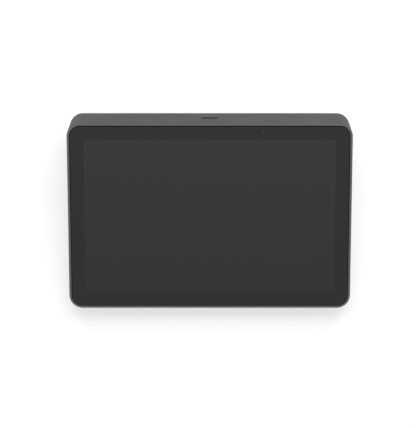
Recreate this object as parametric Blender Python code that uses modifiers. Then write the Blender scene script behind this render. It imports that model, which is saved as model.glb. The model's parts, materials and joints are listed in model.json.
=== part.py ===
"""A wedge-shaped tabletop smart display, modelled as the separate pieces that it comes apart into.

Metres, +Z up, the front (the low edge of the screen) towards -Y. The origin is under the middle of the object,
on the surface that it stands on. Pieces that lie along the screen are children of the empty screen_frame. Its own
axes are +X across, +Y up the slope and +Z out of the glass, from the middle of the screen's front plane.
"""

import math

import bmesh
import bpy
from mathutils import Matrix, Vector

MM = 0.001

# ---- driving dimensions -------------------------------------------------------------------------------------------

# outer form
BODY_WIDTH = 246.0 * MM
FACE_LENGTH = 165.4 * MM  # the front plane, measured up its slope
SCREEN_TILT = math.radians(14.5)
KNEE_HEIGHT = 12.5 * MM  # above the table, where the walls turn inwards
NOSE_HEIGHT = 1.86 * MM  # the front wall, from the knee up to the face
BASE_HEIGHT = 1.5 * MM  # underside above the table, on the feet
UNDERCUT = 9.0 * MM  # how far the underside steps in from the knee
CORNER_RADIUS = 11.6 * MM
RIM_FILLET = 1.2 * MM
WALL = 2.1 * MM
FIT_GAP = 0.3 * MM

# screen stack, counted down from the front plane
GLASS_THICKNESS = 1.8 * MM
GLASS_EDGE = 0.25 * MM
LEDGE_WIDTH = 3.6 * MM
LEDGE_THICKNESS = 1.5 * MM
GASKET_THICKNESS = 0.5 * MM
LCD_SIDE_MARGIN = 7.6 * MM  # from the glass's edge to the panel
LCD_END_MARGIN = 8.3 * MM
LCD_OFFSET = 0.5 * MM  # the panel sits this far up the slope
LCD_CORNER = 1.0 * MM
TOUCH_THICKNESS = 0.7 * MM
LCD_THICKNESS = 1.3 * MM
BACKLIGHT_THICKNESS = 2.5 * MM
TRAY_THICKNESS = 0.8 * MM
TRAY_LIP = 0.8 * MM
FRAME_THICKNESS = 1.5 * MM
FRAME_FRONT_MARGIN = 1.5 * MM  # the frame stops short of the panel's front edge
FRAME_REAR_MARGIN = 0.9 * MM  # and runs past its rear edge
FRAME_STEP = 42.7 * MM  # up the slope from the front; below this the frame narrows, clear of the undercut
FRAME_NARROWING = 10.3 * MM
FRAME_CORNER = 3.0 * MM
SENSOR_X = 45.7 * MM
SENSOR_INSET = 5.7 * MM  # from the glass's top edge to the lens
SENSOR_RADIUS = 1.6 * MM
SENSOR_BOARD = (16.0 * MM, 3.6 * MM, 0.8 * MM)

# base cover
BASE_THICKNESS = 2.5 * MM
BASE_RIM = 2.4 * MM  # width of the housing's rim round the base cover
FOOT_WIDTH = 10.0 * MM
FOOT_HEIGHT = 2.2 * MM
FOOT_RECESS = 1.0 * MM
FOOT_SIDE_MARGIN = 5.0 * MM  # from the cover's edge to a foot's end
FOOT_END_MARGIN = 7.8 * MM  # from the cover's edge to the middle of a foot
FRONT_FOOT_LENGTH = 64.0 * MM
REAR_FOOT_CLEARANCE = 12.0 * MM  # from the door to a rear foot

# cable bay in the underside, its door and the arch that the cables leave by
BAY_HALF_WIDTH = 62.0 * MM
BAY_DEPTH = 45.8 * MM
BAY_CEILING = 26.0 * MM
BAY_WALL = 2.0 * MM
DOOR_SIDE_LEDGE = 3.0 * MM
DOOR_FRONT_LEDGE = 4.0 * MM
DOOR_THICKNESS = 2.0 * MM
DOOR_BARREL = 1.7 * MM
DOOR_PIVOT_INSET = 2.8 * MM  # in front of the bay's rear wall
DOOR_PIN_RADIUS = 0.7 * MM
DOOR_PIN_LENGTH = 7.0 * MM
NOTCH_RADIUS = 7.0 * MM  # of the finger notch in the door's front edge
NOTCH_DEPTH = 1.2 * MM
MAGNET = (10.0 * MM, 3.0 * MM, 2.0 * MM)
MAGNET_X = 22.0 * MM
ARCH_RADIUS = 13.0 * MM
ARCH_CENTRE_Z = -1.4 * MM
CLAMP_POST_X = 20.0 * MM
CLAMP_POST_RADIUS = 3.4 * MM
CLAMP_INSET = 9.8 * MM  # in front of the bay's rear wall
CLAMP_THICKNESS = 2.0 * MM
CLAMP_WIDTH = 7.0 * MM
CLAMP_Z = 5.9 * MM
CLAMP_RIB_DROP = 12.0 * MM
CLAMP_SCREW_HOLD = 5.0 * MM  # length of screw in each clamp post

# electronics
BALLAST_SIDE_MARGIN = 15.6 * MM  # from the cover's edge
BALLAST_FRONT_MARGIN = 13.8 * MM
BALLAST_THICKNESS = 3.0 * MM
BALLAST_CLEARANCE = 0.8 * MM  # round the posts and bosses that pass through it
BOARD_SIDE_MARGIN = 17.6 * MM
BOARD_FRONT_MARGIN = 29.8 * MM
BOARD_THICKNESS = 1.6 * MM
BOARD_Z = 9.0 * MM
BOARD_SCREW_INSET = 5.5 * MM  # from the board's edges
BOARD_POST_RADIUS = 3.0 * MM
PORT_STANDOUT = 1.2 * MM  # how far the sockets reach into the bay
PORT_MARGIN = 0.4 * MM  # between a socket and its hole in the bay's wall
PORT_DEPTH = 13.0 * MM
# socket name: x, width, height, wall, whether it holds a contact tongue
PORTS = {
    "usb_c_port": (-46.0 * MM, 9.4 * MM, 3.8 * MM, 0.5 * MM, True),
    "hdmi_port": (-20.0 * MM, 15.4 * MM, 6.0 * MM, 0.6 * MM, True),
    "ethernet_port": (12.0 * MM, 16.4 * MM, 13.4 * MM, 1.4 * MM, False),
}
TONGUE_MARGIN = 1.2 * MM  # from a socket's sides to its contact tongue
TONGUE_SETBACK = 2.0 * MM  # from a socket's mouth
RESET_X = 31.0 * MM
RESET_RADIUS = 1.8 * MM
RESET_LENGTH = 5.0 * MM
RESET_STANDOUT = 1.6 * MM
RESET_TRAVEL = 1.0 * MM
RESET_HEIGHT = 3.5 * MM  # above the board
RESET_SWITCH = (6.2 * MM, 4.0 * MM, 6.2 * MM)
PROCESSOR_PLACE = (50.0 * MM, 0.0)
PROCESSOR = (18.0 * MM, 18.0 * MM, 1.4 * MM)
THERMAL_PAD = (16.0 * MM, 16.0 * MM, 1.0 * MM)
HEAT_SINK = (40.0 * MM, 30.0 * MM, 2.0 * MM)  # its plate, under the fins
SINK_FINS = 7
SINK_FIN_THICKNESS = 1.4 * MM
SINK_HEADROOM = 1.0 * MM  # from the fins to the mid frame
WIFI_SHIELD_PLACE = (-68.0 * MM, -12.0 * MM)
WIFI_SHIELD = (26.0 * MM, 20.0 * MM, 2.4 * MM)
INDUCTOR_PLACE = (-66.0 * MM, 10.0 * MM)
INDUCTOR = (12.0 * MM, 12.0 * MM, 6.0 * MM)
ANTENNA_Y = (24.0 * MM, 56.0 * MM)
ANTENNA_Z = (20.0 * MM, 29.0 * MM)
ANTENNA_THICKNESS = 0.6 * MM

# flat flex cables: x, place up the screen's slope, width, and where the lower end meets the main board (y)
FLEX_RUNS = {
    "display_flex": (-30.0 * MM, -22.0 * MM, 22.0 * MM, -18.0 * MM),
    "touch_flex": (18.0 * MM, -22.0 * MM, 9.0 * MM, -18.0 * MM),
}
FLEX_THICKNESS = 0.3 * MM
FLEX_BOW = 1.5 * MM  # slack at each turn
FLEX_SLOT_HALF_LENGTH = 2.5 * MM
SENSOR_FLEX_WIDTH = 5.0 * MM
SENSOR_FLEX_CLEARANCE = 1.6 * MM  # from the frame's rear edge

# fasteners
SCREW_RADIUS = 1.25 * MM
SCREW_HEAD_RADIUS = 2.6 * MM
SCREW_HEAD_HEIGHT = 1.6 * MM
SOCKET_RADIUS = 1.1 * MM
SOCKET_DEPTH = 0.9 * MM
SCREW_POINT = 0.5 * MM
SCREW_STEPS = 12
BASE_SCREW_SIDE_INSET = 7.6 * MM
BASE_SCREW_FRONT_INSET = 19.8 * MM
BASE_SCREW_REAR_INSET = 26.2 * MM
BASE_TOWER_RADIUS = 4.2 * MM
BASE_TOWER_TOP = 7.5 * MM
BASE_SCREW_TOP = 10.4 * MM
FRAME_SCREW_SIDE_INSET = 6.4 * MM  # from the body's sides
FRAME_SCREW_FRONT_INSET = 52.7 * MM
FRAME_SCREW_REAR_INSET = 22.7 * MM
INSERT_SPACING = 75.0 * MM
INSERT_CLEARANCE = 5.5 * MM  # from the rear pair to the bay
INSERT_RADIUS = 2.9 * MM
INSERT_BORE = 1.7 * MM
INSERT_LENGTH = 6.0 * MM
INSERT_BOSS_RADIUS = 5.0 * MM

# side and rear details
JACK_Y = -6.0 * MM
JACK_RISE = 5.0 * MM  # above the knee
JACK_RADIUS = 1.8 * MM
JACK_WALL = 0.5 * MM
JACK_LENGTH = 12.0 * MM
JACK_BLOCK = (7.0 * MM, 6.0 * MM)
LOCK_SLOT = (7.0 * MM, 3.0 * MM)  # along the right wall, and up it
LOCK_Y = 46.0 * MM
LOCK_RISE = 8.0 * MM  # above the knee
LOCK_PLATE = (14.0 * MM, 9.6 * MM, 1.2 * MM)
BADGE = (15.0 * MM, 7.0 * MM, 0.8 * MM)
BADGE_DROP = 23.0 * MM
BADGE_PROUD = 0.1 * MM
VENT_COUNT = 7
VENT_PITCH = 4.5 * MM
VENT_SIZE = (10.0 * MM, 1.8 * MM)
VENT_START = 9.0 * MM  # behind the middle base screw

# ---- worked out from the driving dimensions -----------------------------------------------------------------------

COS, SIN = math.cos(SCREEN_TILT), math.sin(SCREEN_TILT)
TAN = math.tan(SCREEN_TILT)
BACK_HEIGHT = (FACE_LENGTH * SIN + NOSE_HEIGHT) / COS  # the rear wall, from the face down to the knee
NOSE_TRIM = RIM_FILLET * (COS + SIN - 1)  # what the fillet takes off the foremost point
PLAN_DEPTH = FACE_LENGTH * COS + BACK_HEIGHT * SIN - NOSE_TRIM
KNEE_REAR_Y = PLAN_DEPTH / 2
KNEE_FRONT_Y = -KNEE_REAR_Y - NOSE_TRIM + NOSE_HEIGHT * TAN
SCREEN_Y = KNEE_REAR_Y - BACK_HEIGHT * SIN - FACE_LENGTH / 2 * COS
SCREEN_Z = KNEE_HEIGHT + NOSE_HEIGHT + FACE_LENGTH / 2 * SIN
UNDERCUT_SLOPE = UNDERCUT / (KNEE_HEIGHT - BASE_HEIGHT)

GLASS_WIDTH = BODY_WIDTH - 2 * (WALL + FIT_GAP)
GLASS_LENGTH = FACE_LENGTH - 2 * (WALL + FIT_GAP)
GLASS_RADIUS = CORNER_RADIUS - WALL - FIT_GAP
LEDGE_TOP = GLASS_THICKNESS + GASKET_THICKNESS + 2 * FIT_GAP
LEDGE_BOTTOM = LEDGE_TOP + LEDGE_THICKNESS
LCD_WIDTH = GLASS_WIDTH - 2 * LCD_SIDE_MARGIN
LCD_LENGTH = GLASS_LENGTH - 2 * LCD_END_MARGIN
TOUCH_TOP = GLASS_THICKNESS + FIT_GAP
LCD_TOP = TOUCH_TOP + TOUCH_THICKNESS + FIT_GAP
BACKLIGHT_TOP = LCD_TOP + LCD_THICKNESS + FIT_GAP
TRAY_TOP = BACKLIGHT_TOP + BACKLIGHT_THICKNESS + FIT_GAP
FRAME_TOP = TRAY_TOP + TRAY_THICKNESS + FIT_GAP
FRAME_BOTTOM = FRAME_TOP + FRAME_THICKNESS
FRAME_FRONT = LCD_OFFSET - LCD_LENGTH / 2 + FRAME_FRONT_MARGIN
FRAME_REAR = LCD_OFFSET + LCD_LENGTH / 2 + FRAME_REAR_MARGIN

BASE_TOP = BASE_HEIGHT + BASE_THICKNESS
BASE_FRONT_Y = KNEE_FRONT_Y + UNDERCUT + BASE_RIM
BASE_REAR_Y = KNEE_REAR_Y - UNDERCUT - BASE_RIM
BASE_HALF_WIDTH = BODY_WIDTH / 2 - UNDERCUT - BASE_RIM
BAY_REAR = BASE_REAR_Y - FIT_GAP - BAY_WALL
BAY_FRONT = BAY_REAR - BAY_DEPTH
BAY_WALL_FRONT = BAY_FRONT - BAY_WALL
DOOR_HALF_WIDTH = BAY_HALF_WIDTH - DOOR_SIDE_LEDGE
DOOR_FRONT = BAY_FRONT + DOOR_FRONT_LEDGE
DOOR_PIVOT_Y = BAY_REAR - DOOR_PIVOT_INSET
DOOR_PIVOT_Z = BASE_HEIGHT + DOOR_BARREL
DOOR_REAR = DOOR_PIVOT_Y + DOOR_BARREL
CLAMP_Y = BAY_REAR - CLAMP_INSET
CLAMP_POST_BOTTOM = CLAMP_Z + CLAMP_THICKNESS + FIT_GAP
BOARD_TOP = BOARD_Z + BOARD_THICKNESS
BOARD_HALF_WIDTH = BASE_HALF_WIDTH - BOARD_SIDE_MARGIN
BOARD_FRONT = BASE_FRONT_Y + BOARD_FRONT_MARGIN
BOARD_REAR = BAY_WALL_FRONT - FIT_GAP
JACK_Z = KNEE_HEIGHT + JACK_RISE
LOCK_Z = KNEE_HEIGHT + LOCK_RISE

STADIUM = 0.98  # a rounded end's radius against half the width
ROUND_SIDES = 16  # sides of a small cylinder
LARGE_ROUND_SIDES = 48
CORNER_STEPS = 8  # facets in a rounded corner
CUT = 1.0 * MM  # how far a cutter runs past what it cuts

# ---- scene helpers ------------------------------------------------------------------------------------------------


def clear_scene():
    for item in list(bpy.data.objects):
        bpy.data.objects.remove(item)
    for item in list(bpy.data.collections):
        bpy.data.collections.remove(item)


def make_collection(name):
    made = bpy.data.collections.new(name)
    bpy.context.scene.collection.children.link(made)
    return made


def make_material(name, colour, roughness, metallic=0.0):
    made = bpy.data.materials.new(name)
    made.use_nodes = True
    shader = made.node_tree.nodes["Principled BSDF"]
    shader.inputs["Base Color"].default_value = (*colour, 1.0)
    shader.inputs["Roughness"].default_value = roughness
    shader.inputs["Metallic"].default_value = metallic
    return made


clear_scene()
PARTS = make_collection("smart_display")
CUTTERS = make_collection("cutters")

PLASTIC = make_material("graphite_plastic", (0.055, 0.055, 0.056), 0.5)
GLASS = make_material("black_glass", (0.012, 0.012, 0.013), 0.12)
RUBBER = make_material("black_rubber", (0.02, 0.02, 0.02), 0.8)
STEEL = make_material("steel", (0.5, 0.5, 0.5), 0.35, 1.0)
ALUMINIUM = make_material("aluminium", (0.7, 0.7, 0.72), 0.4, 1.0)
BRASS = make_material("brass", (0.75, 0.55, 0.25), 0.35, 1.0)
BOARD_GREEN = make_material("board_green", (0.02, 0.09, 0.05), 0.5)
CHIP_BLACK = make_material("chip_black", (0.02, 0.02, 0.022), 0.6)
FLEX_AMBER = make_material("flex_amber", (0.45, 0.2, 0.04), 0.5)
LIGHT_WHITE = make_material("light_guide", (0.8, 0.8, 0.8), 0.4)
LENS = make_material("smoked_lens", (0.06, 0.06, 0.065), 0.2)

SCREEN_FRAME = bpy.data.objects.new("screen_frame", None)
PARTS.objects.link(SCREEN_FRAME)
SCREEN_FRAME.location = (0, SCREEN_Y, SCREEN_Z)
SCREEN_FRAME.rotation_euler = (SCREEN_TILT, 0, 0)


def to_object(name, bm, material=None, parent=None):
    """A part if it has a material, otherwise a cutter. The bmesh is in the parent's axes, or the world's."""
    mesh = bpy.data.meshes.new(name)
    bm.to_mesh(mesh)
    bm.free()
    made = bpy.data.objects.new(name, mesh)
    made.parent = parent
    if material is None:
        CUTTERS.objects.link(made)
        made.hide_render = True
        made.display_type = "WIRE"
    else:
        PARTS.objects.link(made)
        mesh.materials.append(material)
        mesh.shade_smooth()
        mesh.set_sharp_from_angle(angle=math.radians(30))
    return made


def combine(target, operation, *tools):
    for tool in tools:
        modifier = target.modifiers.new(tool.name, "BOOLEAN")
        modifier.operation = operation
        modifier.object = tool
    return target


def cut(target, *tools):
    return combine(target, "DIFFERENCE", *tools)


def join(target, *tools):
    return combine(target, "UNION", *tools)


# ---- solids added to a bmesh --------------------------------------------------------------------------------------


def add_box(bm, low, high, radius=0.0, along="Z", steps=CORNER_STEPS):
    """A box between two corners, with the four edges that run along one axis rounded."""
    low, high = Vector(low), Vector(high)
    place = Matrix.Translation((low + high) / 2) @ Matrix.Diagonal((*(high - low), 1.0))
    verts = bmesh.ops.create_cube(bm, size=1.0, matrix=place)["verts"]
    if radius > 0:
        axis = "XYZ".index(along)
        edges = {e for v in verts for e in v.link_edges}
        rounded = [e for e in edges if abs((e.verts[0].co - e.verts[1].co)[axis]) > 1e-9]
        bmesh.ops.bevel(bm, geom=rounded, offset=radius, segments=steps, profile=0.5, affect="EDGES")
    return bm


def add_cylinder(bm, centre, radius, length, along="Z", sides=ROUND_SIDES):
    """A cylinder from its centre point, running half its length each way."""
    turn = {
        "X": Matrix.Rotation(math.pi / 2, 4, "Y"),
        "Y": Matrix.Rotation(math.pi / 2, 4, "X"),
        "Z": Matrix.Identity(4),
    }[along]
    bmesh.ops.create_cone(
        bm,
        cap_ends=True,
        segments=sides,
        radius1=radius,
        radius2=radius,
        depth=length,
        matrix=Matrix.Translation(centre) @ turn,
    )
    return bm


def add_post(bm, x, y, z_low, z_high, radius, sides=ROUND_SIDES):
    return add_cylinder(bm, (x, y, (z_low + z_high) / 2), radius, z_high - z_low, "Z", sides)


def add_tapered(bm, low, high, spread, radius, steps=CORNER_STEPS):
    """A box whose top is wider than its bottom by spread on each side, with its upright edges rounded."""
    low, high = Vector(low), Vector(high)
    place = Matrix.Translation((low + high) / 2) @ Matrix.Diagonal((*(high - low), 1.0))
    verts = bmesh.ops.create_cube(bm, size=1.0, matrix=place)["verts"]
    middle = (low + high) / 2
    for v in verts:
        if v.co.z > middle.z:
            v.co.x += math.copysign(spread, v.co.x - middle.x)
            v.co.y += math.copysign(spread, v.co.y - middle.y)
    edges = {e for v in verts for e in v.link_edges}
    upright = [e for e in edges if abs(e.verts[0].co.z - e.verts[1].co.z) > 1e-9]
    bmesh.ops.bevel(bm, geom=upright, offset=radius, segments=steps, profile=0.5, affect="EDGES")
    return bm


def box_object(name, low, high, material=None, radius=0.0, along="Z", parent=None):
    return to_object(name, add_box(bmesh.new(), low, high, radius, along), material, parent)


def post_group(name, points, z_low, z_high, radius, material=None, parent=None):
    """One upright cylinder at each (x, y)."""
    bm = bmesh.new()
    for x, y in points:
        add_post(bm, x, y, z_low, z_high, radius)
    return to_object(name, bm, material, parent)


def screen_slab(name, width, length, top, bottom, radius, material=None, offset=0.0):
    """A rounded slab along the screen, between two depths below the front plane."""
    low = (-width / 2, offset - length / 2, -bottom)
    high = (width / 2, offset + length / 2, -top)
    return box_object(name, low, high, material, radius, parent=SCREEN_FRAME)


def mirrored(points):
    """Each point and its mirror image across the middle plane, left side first."""
    return [(-x, y) for x, y in points] + [(x, y) for x, y in points]


# ---- shared places ------------------------------------------------------------------------------------------------

BASE_SCREW_X = BASE_HALF_WIDTH - BASE_SCREW_SIDE_INSET
BASE_SCREW_FRONT = BASE_FRONT_Y + BASE_SCREW_FRONT_INSET
BASE_SCREW_REAR = BASE_REAR_Y - BASE_SCREW_REAR_INSET
BASE_SCREW_MIDDLE = (BASE_SCREW_FRONT + BASE_SCREW_REAR) / 2
BASE_SCREW_POINTS = mirrored(
    [(BASE_SCREW_X, y) for y in (BASE_SCREW_FRONT, BASE_SCREW_MIDDLE, BASE_SCREW_REAR)]
)
BOARD_SCREW_X = BOARD_HALF_WIDTH - BOARD_SCREW_INSET
BOARD_POINTS = mirrored(
    [(BOARD_SCREW_X, y) for y in (BOARD_FRONT + BOARD_SCREW_INSET, BOARD_REAR - BOARD_SCREW_INSET)]
)
FRAME_SCREW_X = BODY_WIDTH / 2 - FRAME_SCREW_SIDE_INSET
FRAME_SCREW_POINTS = mirrored(
    [
        (FRAME_SCREW_X, v)
        for v in (FRAME_SCREW_FRONT_INSET - FACE_LENGTH / 2, FACE_LENGTH / 2 - FRAME_SCREW_REAR_INSET)
    ]
)
INSERT_REAR_Y = BAY_FRONT - INSERT_CLEARANCE
INSERT_POINTS = mirrored(
    [(INSERT_SPACING / 2, y) for y in (INSERT_REAR_Y - INSERT_SPACING, INSERT_REAR_Y)]
)

FOOT_OUTER_X = BASE_HALF_WIDTH - FOOT_SIDE_MARGIN
FRONT_FOOT = (FOOT_OUTER_X - FRONT_FOOT_LENGTH, BASE_FRONT_Y + FOOT_END_MARGIN)  # inner end, y
REAR_FOOT = (DOOR_HALF_WIDTH + REAR_FOOT_CLEARANCE, BASE_REAR_Y - FOOT_END_MARGIN)
FEET = {
    "foot_front_left": (-FOOT_OUTER_X, -FRONT_FOOT[0], FRONT_FOOT[1]),
    "foot_front_right": (FRONT_FOOT[0], FOOT_OUTER_X, FRONT_FOOT[1]),
    "foot_rear_left": (-FOOT_OUTER_X, -REAR_FOOT[0], REAR_FOOT[1]),
    "foot_rear_right": (REAR_FOOT[0], FOOT_OUTER_X, REAR_FOOT[1]),
}


# ---- shells -------------------------------------------------------------------------------------------------------


def housing_form(name, inset, material=None):
    """The outer wedge, or the space inside it: a prism square to the screen, cut to the undercut base."""
    deep = BACK_HEIGHT + FACE_LENGTH
    bm = bmesh.new()
    half_x, half_v = BODY_WIDTH / 2 - inset, FACE_LENGTH / 2 - inset
    top = -LEDGE_BOTTOM if inset else 0.0
    add_box(bm, (-half_x, -half_v, -deep), (half_x, half_v, top), CORNER_RADIUS - inset)
    if not inset:
        rim = [e for e in bm.edges if all(abs(v.co.z - top) < 1e-9 for v in e.verts)]
        bmesh.ops.bevel(bm, geom=rim, offset=RIM_FILLET, segments=3, profile=0.5, affect="EDGES")
    form = to_object(name, bm, material, SCREEN_FRAME)

    # the undercut planes run on upwards past the walls, so that they only trim what is below the knee
    wall_run = inset * math.hypot(1, UNDERCUT_SLOPE)
    low_z = BASE_HEIGHT - (CUT if inset else 0.0)
    step_in = UNDERCUT + wall_run + UNDERCUT_SLOPE * (BASE_HEIGHT - low_z)
    high_z = KNEE_HEIGHT + BACK_HEIGHT + FACE_LENGTH * SIN
    spread = UNDERCUT_SLOPE * (high_z - low_z)
    trim = add_tapered(
        bmesh.new(),
        (-BODY_WIDTH / 2 + step_in, KNEE_FRONT_Y + step_in, low_z),
        (BODY_WIDTH / 2 - step_in, KNEE_REAR_Y - step_in, high_z),
        spread,
        CORNER_RADIUS,
    )
    return combine(form, "INTERSECT", to_object(name + "_trim", trim))


def cable_arch(name, radius, y_low, y_high):
    middle = (0, (y_low + y_high) / 2, ARCH_CENTRE_Z)
    return to_object(name, add_cylinder(bmesh.new(), middle, radius, y_high - y_low, "Y", LARGE_ROUND_SIDES))


def badge_box(name, grow, depth, material=None):
    """The rear badge, or its seat: a stadium let into the rear wall, its outer face a little proud."""
    half_x, half_n = BADGE[0] / 2 + grow, BADGE[1] / 2 + grow
    outer = FACE_LENGTH / 2 + BADGE_PROUD
    low = (-half_x, outer - depth, -BADGE_DROP - half_n)
    high = (half_x, outer, -BADGE_DROP + half_n)
    return box_object(name, low, high, material, half_n * STADIUM, "Y", SCREEN_FRAME)


def side_wall_box(name, size, outer, depth, material=None):
    """A box in line with the lock slot, its outer face at outer (x)."""
    half_y, half_z = size[0] / 2, size[1] / 2
    low = (outer - depth, LOCK_Y - half_y, LOCK_Z - half_z)
    high = (outer, LOCK_Y + half_y, LOCK_Z + half_z)
    return box_object(name, low, high, material, half_z * 0.8, "X")


def upper_housing():
    shell = housing_form("upper_housing", 0.0, PLASTIC)
    cavity = housing_form("housing_cavity", WALL)
    cut(shell, cavity)
    pocket_width, pocket_length = GLASS_WIDTH + 2 * FIT_GAP, GLASS_LENGTH + 2 * FIT_GAP
    pocket = screen_slab(
        "glass_pocket", pocket_width, pocket_length, -CUT, LEDGE_TOP, GLASS_RADIUS + FIT_GAP
    )
    window = screen_slab(
        "display_window",
        pocket_width - 2 * LEDGE_WIDTH,
        pocket_length - 2 * LEDGE_WIDTH,
        0,
        LEDGE_BOTTOM + CUT,
        GLASS_RADIUS - LEDGE_WIDTH,
    )
    base_hole = box_object(
        "base_hole",
        (-BASE_HALF_WIDTH, BASE_FRONT_Y, 0),
        (BASE_HALF_WIDTH, BASE_REAR_Y, BASE_TOP + FIT_GAP),
        radius=CORNER_RADIUS - BASE_RIM,
    )
    cut(shell, pocket, window, base_hole)

    # bosses under the ledge, which the mid frame is screwed to
    bosses = post_group(
        "frame_bosses",
        FRAME_SCREW_POINTS,
        -FRAME_TOP + FIT_GAP,
        -LEDGE_TOP - LEDGE_THICKNESS / 2,
        SCREW_HEAD_RADIUS + FIT_GAP,
        parent=SCREEN_FRAME,
    )
    holes = post_group(
        "frame_boss_holes",
        FRAME_SCREW_POINTS,
        -FRAME_TOP,
        -LEDGE_TOP - LEDGE_THICKNESS / 2,
        SCREW_RADIUS + FIT_GAP,
        parent=SCREEN_FRAME,
    )
    join(shell, bosses)
    cut(shell, holes, cable_arch("arch_in_housing", ARCH_RADIUS, BASE_REAR_Y - UNDERCUT, KNEE_REAR_Y + CUT))

    jack_hole = add_cylinder(
        bmesh.new(), (BODY_WIDTH / 2, JACK_Y, JACK_Z), JACK_RADIUS + FIT_GAP, 4 * WALL, "X"
    )
    lock_hole = side_wall_box("lock_hole", LOCK_SLOT, BODY_WIDTH / 2 + CUT, 2 * WALL)
    badge_seat = badge_box("badge_seat", FIT_GAP, BADGE[2] + FIT_GAP)
    cut(shell, to_object("jack_hole", jack_hole), lock_hole, badge_seat)
    return shell


def base_cover():
    plate = box_object(
        "base_cover",
        (-BASE_HALF_WIDTH + FIT_GAP, BASE_FRONT_Y + FIT_GAP, BASE_HEIGHT),
        (BASE_HALF_WIDTH - FIT_GAP, BASE_REAR_Y - FIT_GAP, BASE_TOP),
        PLASTIC,
        CORNER_RADIUS - BASE_RIM - FIT_GAP,
    )
    # walls of the cable bay, and a tunnel from it to the arch
    outer_x = BAY_HALF_WIDTH + BAY_WALL
    mid_z = BASE_HEIGHT + BASE_THICKNESS / 2
    bay_rear_wall = BASE_REAR_Y - FIT_GAP
    bay = box_object(
        "bay_block",
        (-outer_x, BAY_WALL_FRONT, mid_z),
        (outer_x, bay_rear_wall, BAY_CEILING + BAY_WALL),
        radius=BAY_WALL,
    )
    join(plate, bay)
    towers = post_group("screw_towers", BASE_SCREW_POINTS, mid_z, BASE_TOWER_TOP, BASE_TOWER_RADIUS)
    board_posts = post_group(
        "board_posts", BOARD_POINTS, mid_z, BOARD_Z - FIT_GAP, BOARD_POST_RADIUS
    )
    insert_bosses = post_group(
        "insert_bosses", INSERT_POINTS, mid_z, BASE_HEIGHT + INSERT_LENGTH + FIT_GAP, INSERT_BOSS_RADIUS
    )
    join(plate, towers, board_posts, insert_bosses)

    bay_space = box_object(
        "bay_space",
        (-BAY_HALF_WIDTH, BAY_FRONT, BASE_TOP),
        (BAY_HALF_WIDTH, BAY_REAR, BAY_CEILING),
        radius=BAY_WALL / 2,
    )
    door_hole = box_object(
        "door_hole",
        (-DOOR_HALF_WIDTH - FIT_GAP, DOOR_FRONT - FIT_GAP, BASE_HEIGHT - CUT),
        (DOOR_HALF_WIDTH + FIT_GAP, DOOR_REAR + FIT_GAP, BASE_TOP + CUT),
    )
    cut(plate, bay_space, door_hole)
    cut(plate, cable_arch("arch_in_base", ARCH_RADIUS, BAY_REAR - CUT, KNEE_REAR_Y))

    # clamp posts and the rib that the cables are pressed against, all hanging from the bay's ceiling
    clamp_points = [(-CLAMP_POST_X, CLAMP_Y), (CLAMP_POST_X, CLAMP_Y)]
    hang_top = BAY_CEILING + BAY_WALL / 2
    clamp_posts = post_group(
        "clamp_posts", clamp_points, CLAMP_POST_BOTTOM, hang_top, CLAMP_POST_RADIUS
    )
    rib = box_object(
        "clamp_rib",
        (-CLAMP_POST_X, CLAMP_Y - BAY_WALL / 2, BAY_CEILING - CLAMP_RIB_DROP),
        (CLAMP_POST_X, CLAMP_Y + BAY_WALL / 2, hang_top),
    )
    join(plate, clamp_posts, rib)

    # holes for fasteners, inserts and hinge pins
    clamp_holes = post_group(
        "clamp_screw_holes",
        clamp_points,
        CLAMP_POST_BOTTOM - CUT,
        CLAMP_POST_BOTTOM + CLAMP_SCREW_HOLD + CUT,
        SCREW_RADIUS + FIT_GAP,
    )
    shanks = post_group(
        "base_screw_holes",
        BASE_SCREW_POINTS,
        BASE_HEIGHT - CUT,
        BASE_TOWER_TOP + CUT,
        SCREW_RADIUS + FIT_GAP,
    )
    heads = post_group(
        "base_screw_sinks",
        BASE_SCREW_POINTS,
        BASE_HEIGHT - CUT,
        BASE_HEIGHT + SCREW_HEAD_HEIGHT + 3 * FIT_GAP,
        SCREW_HEAD_RADIUS + FIT_GAP,
    )
    board_holes = post_group(
        "board_screw_holes", BOARD_POINTS, BASE_TOP, BOARD_Z + CUT, SCREW_RADIUS + FIT_GAP
    )
    insert_holes = post_group(
        "insert_holes",
        INSERT_POINTS,
        BASE_HEIGHT - CUT,
        BASE_HEIGHT + INSERT_LENGTH - FIT_GAP,
        INSERT_RADIUS + FIT_GAP,
    )
    pin_bm = bmesh.new()
    for side in (-1, 1):
        pin_middle = (side * (DOOR_HALF_WIDTH + FIT_GAP), DOOR_PIVOT_Y, DOOR_PIVOT_Z)
        add_cylinder(pin_bm, pin_middle, DOOR_PIN_RADIUS + FIT_GAP, DOOR_PIN_LENGTH + 2 * FIT_GAP, "X")
    knuckle_bm = bmesh.new()
    for side in (-1, 1):
        ends = sorted((side * (DOOR_HALF_WIDTH + FIT_GAP), side * outer_x))
        low = (ends[0], DOOR_PIVOT_Y - 2 * DOOR_BARREL, mid_z)
        high = (ends[1], BAY_REAR + BAY_WALL / 2, DOOR_PIVOT_Z + 2 * DOOR_BARREL)
        add_box(knuckle_bm, low, high)
    join(plate, to_object("pin_blocks", knuckle_bm))
    cut(plate, clamp_holes, shanks, heads, board_holes, insert_holes, to_object("pin_holes", pin_bm))
    cut(plate, foot_recesses(), vents(), port_holes(), magnet_seat())
    return plate


def foot_recesses():
    bm = bmesh.new()
    for left, right, y in FEET.values():
        low = (left - FIT_GAP, y - FOOT_WIDTH / 2 - FIT_GAP, BASE_HEIGHT - CUT)
        high = (right + FIT_GAP, y + FOOT_WIDTH / 2 + FIT_GAP, BASE_HEIGHT + FOOT_RECESS)
        add_box(bm, low, high, FOOT_WIDTH / 2 * STADIUM, steps=5)
    return to_object("foot_recesses", bm)


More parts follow.
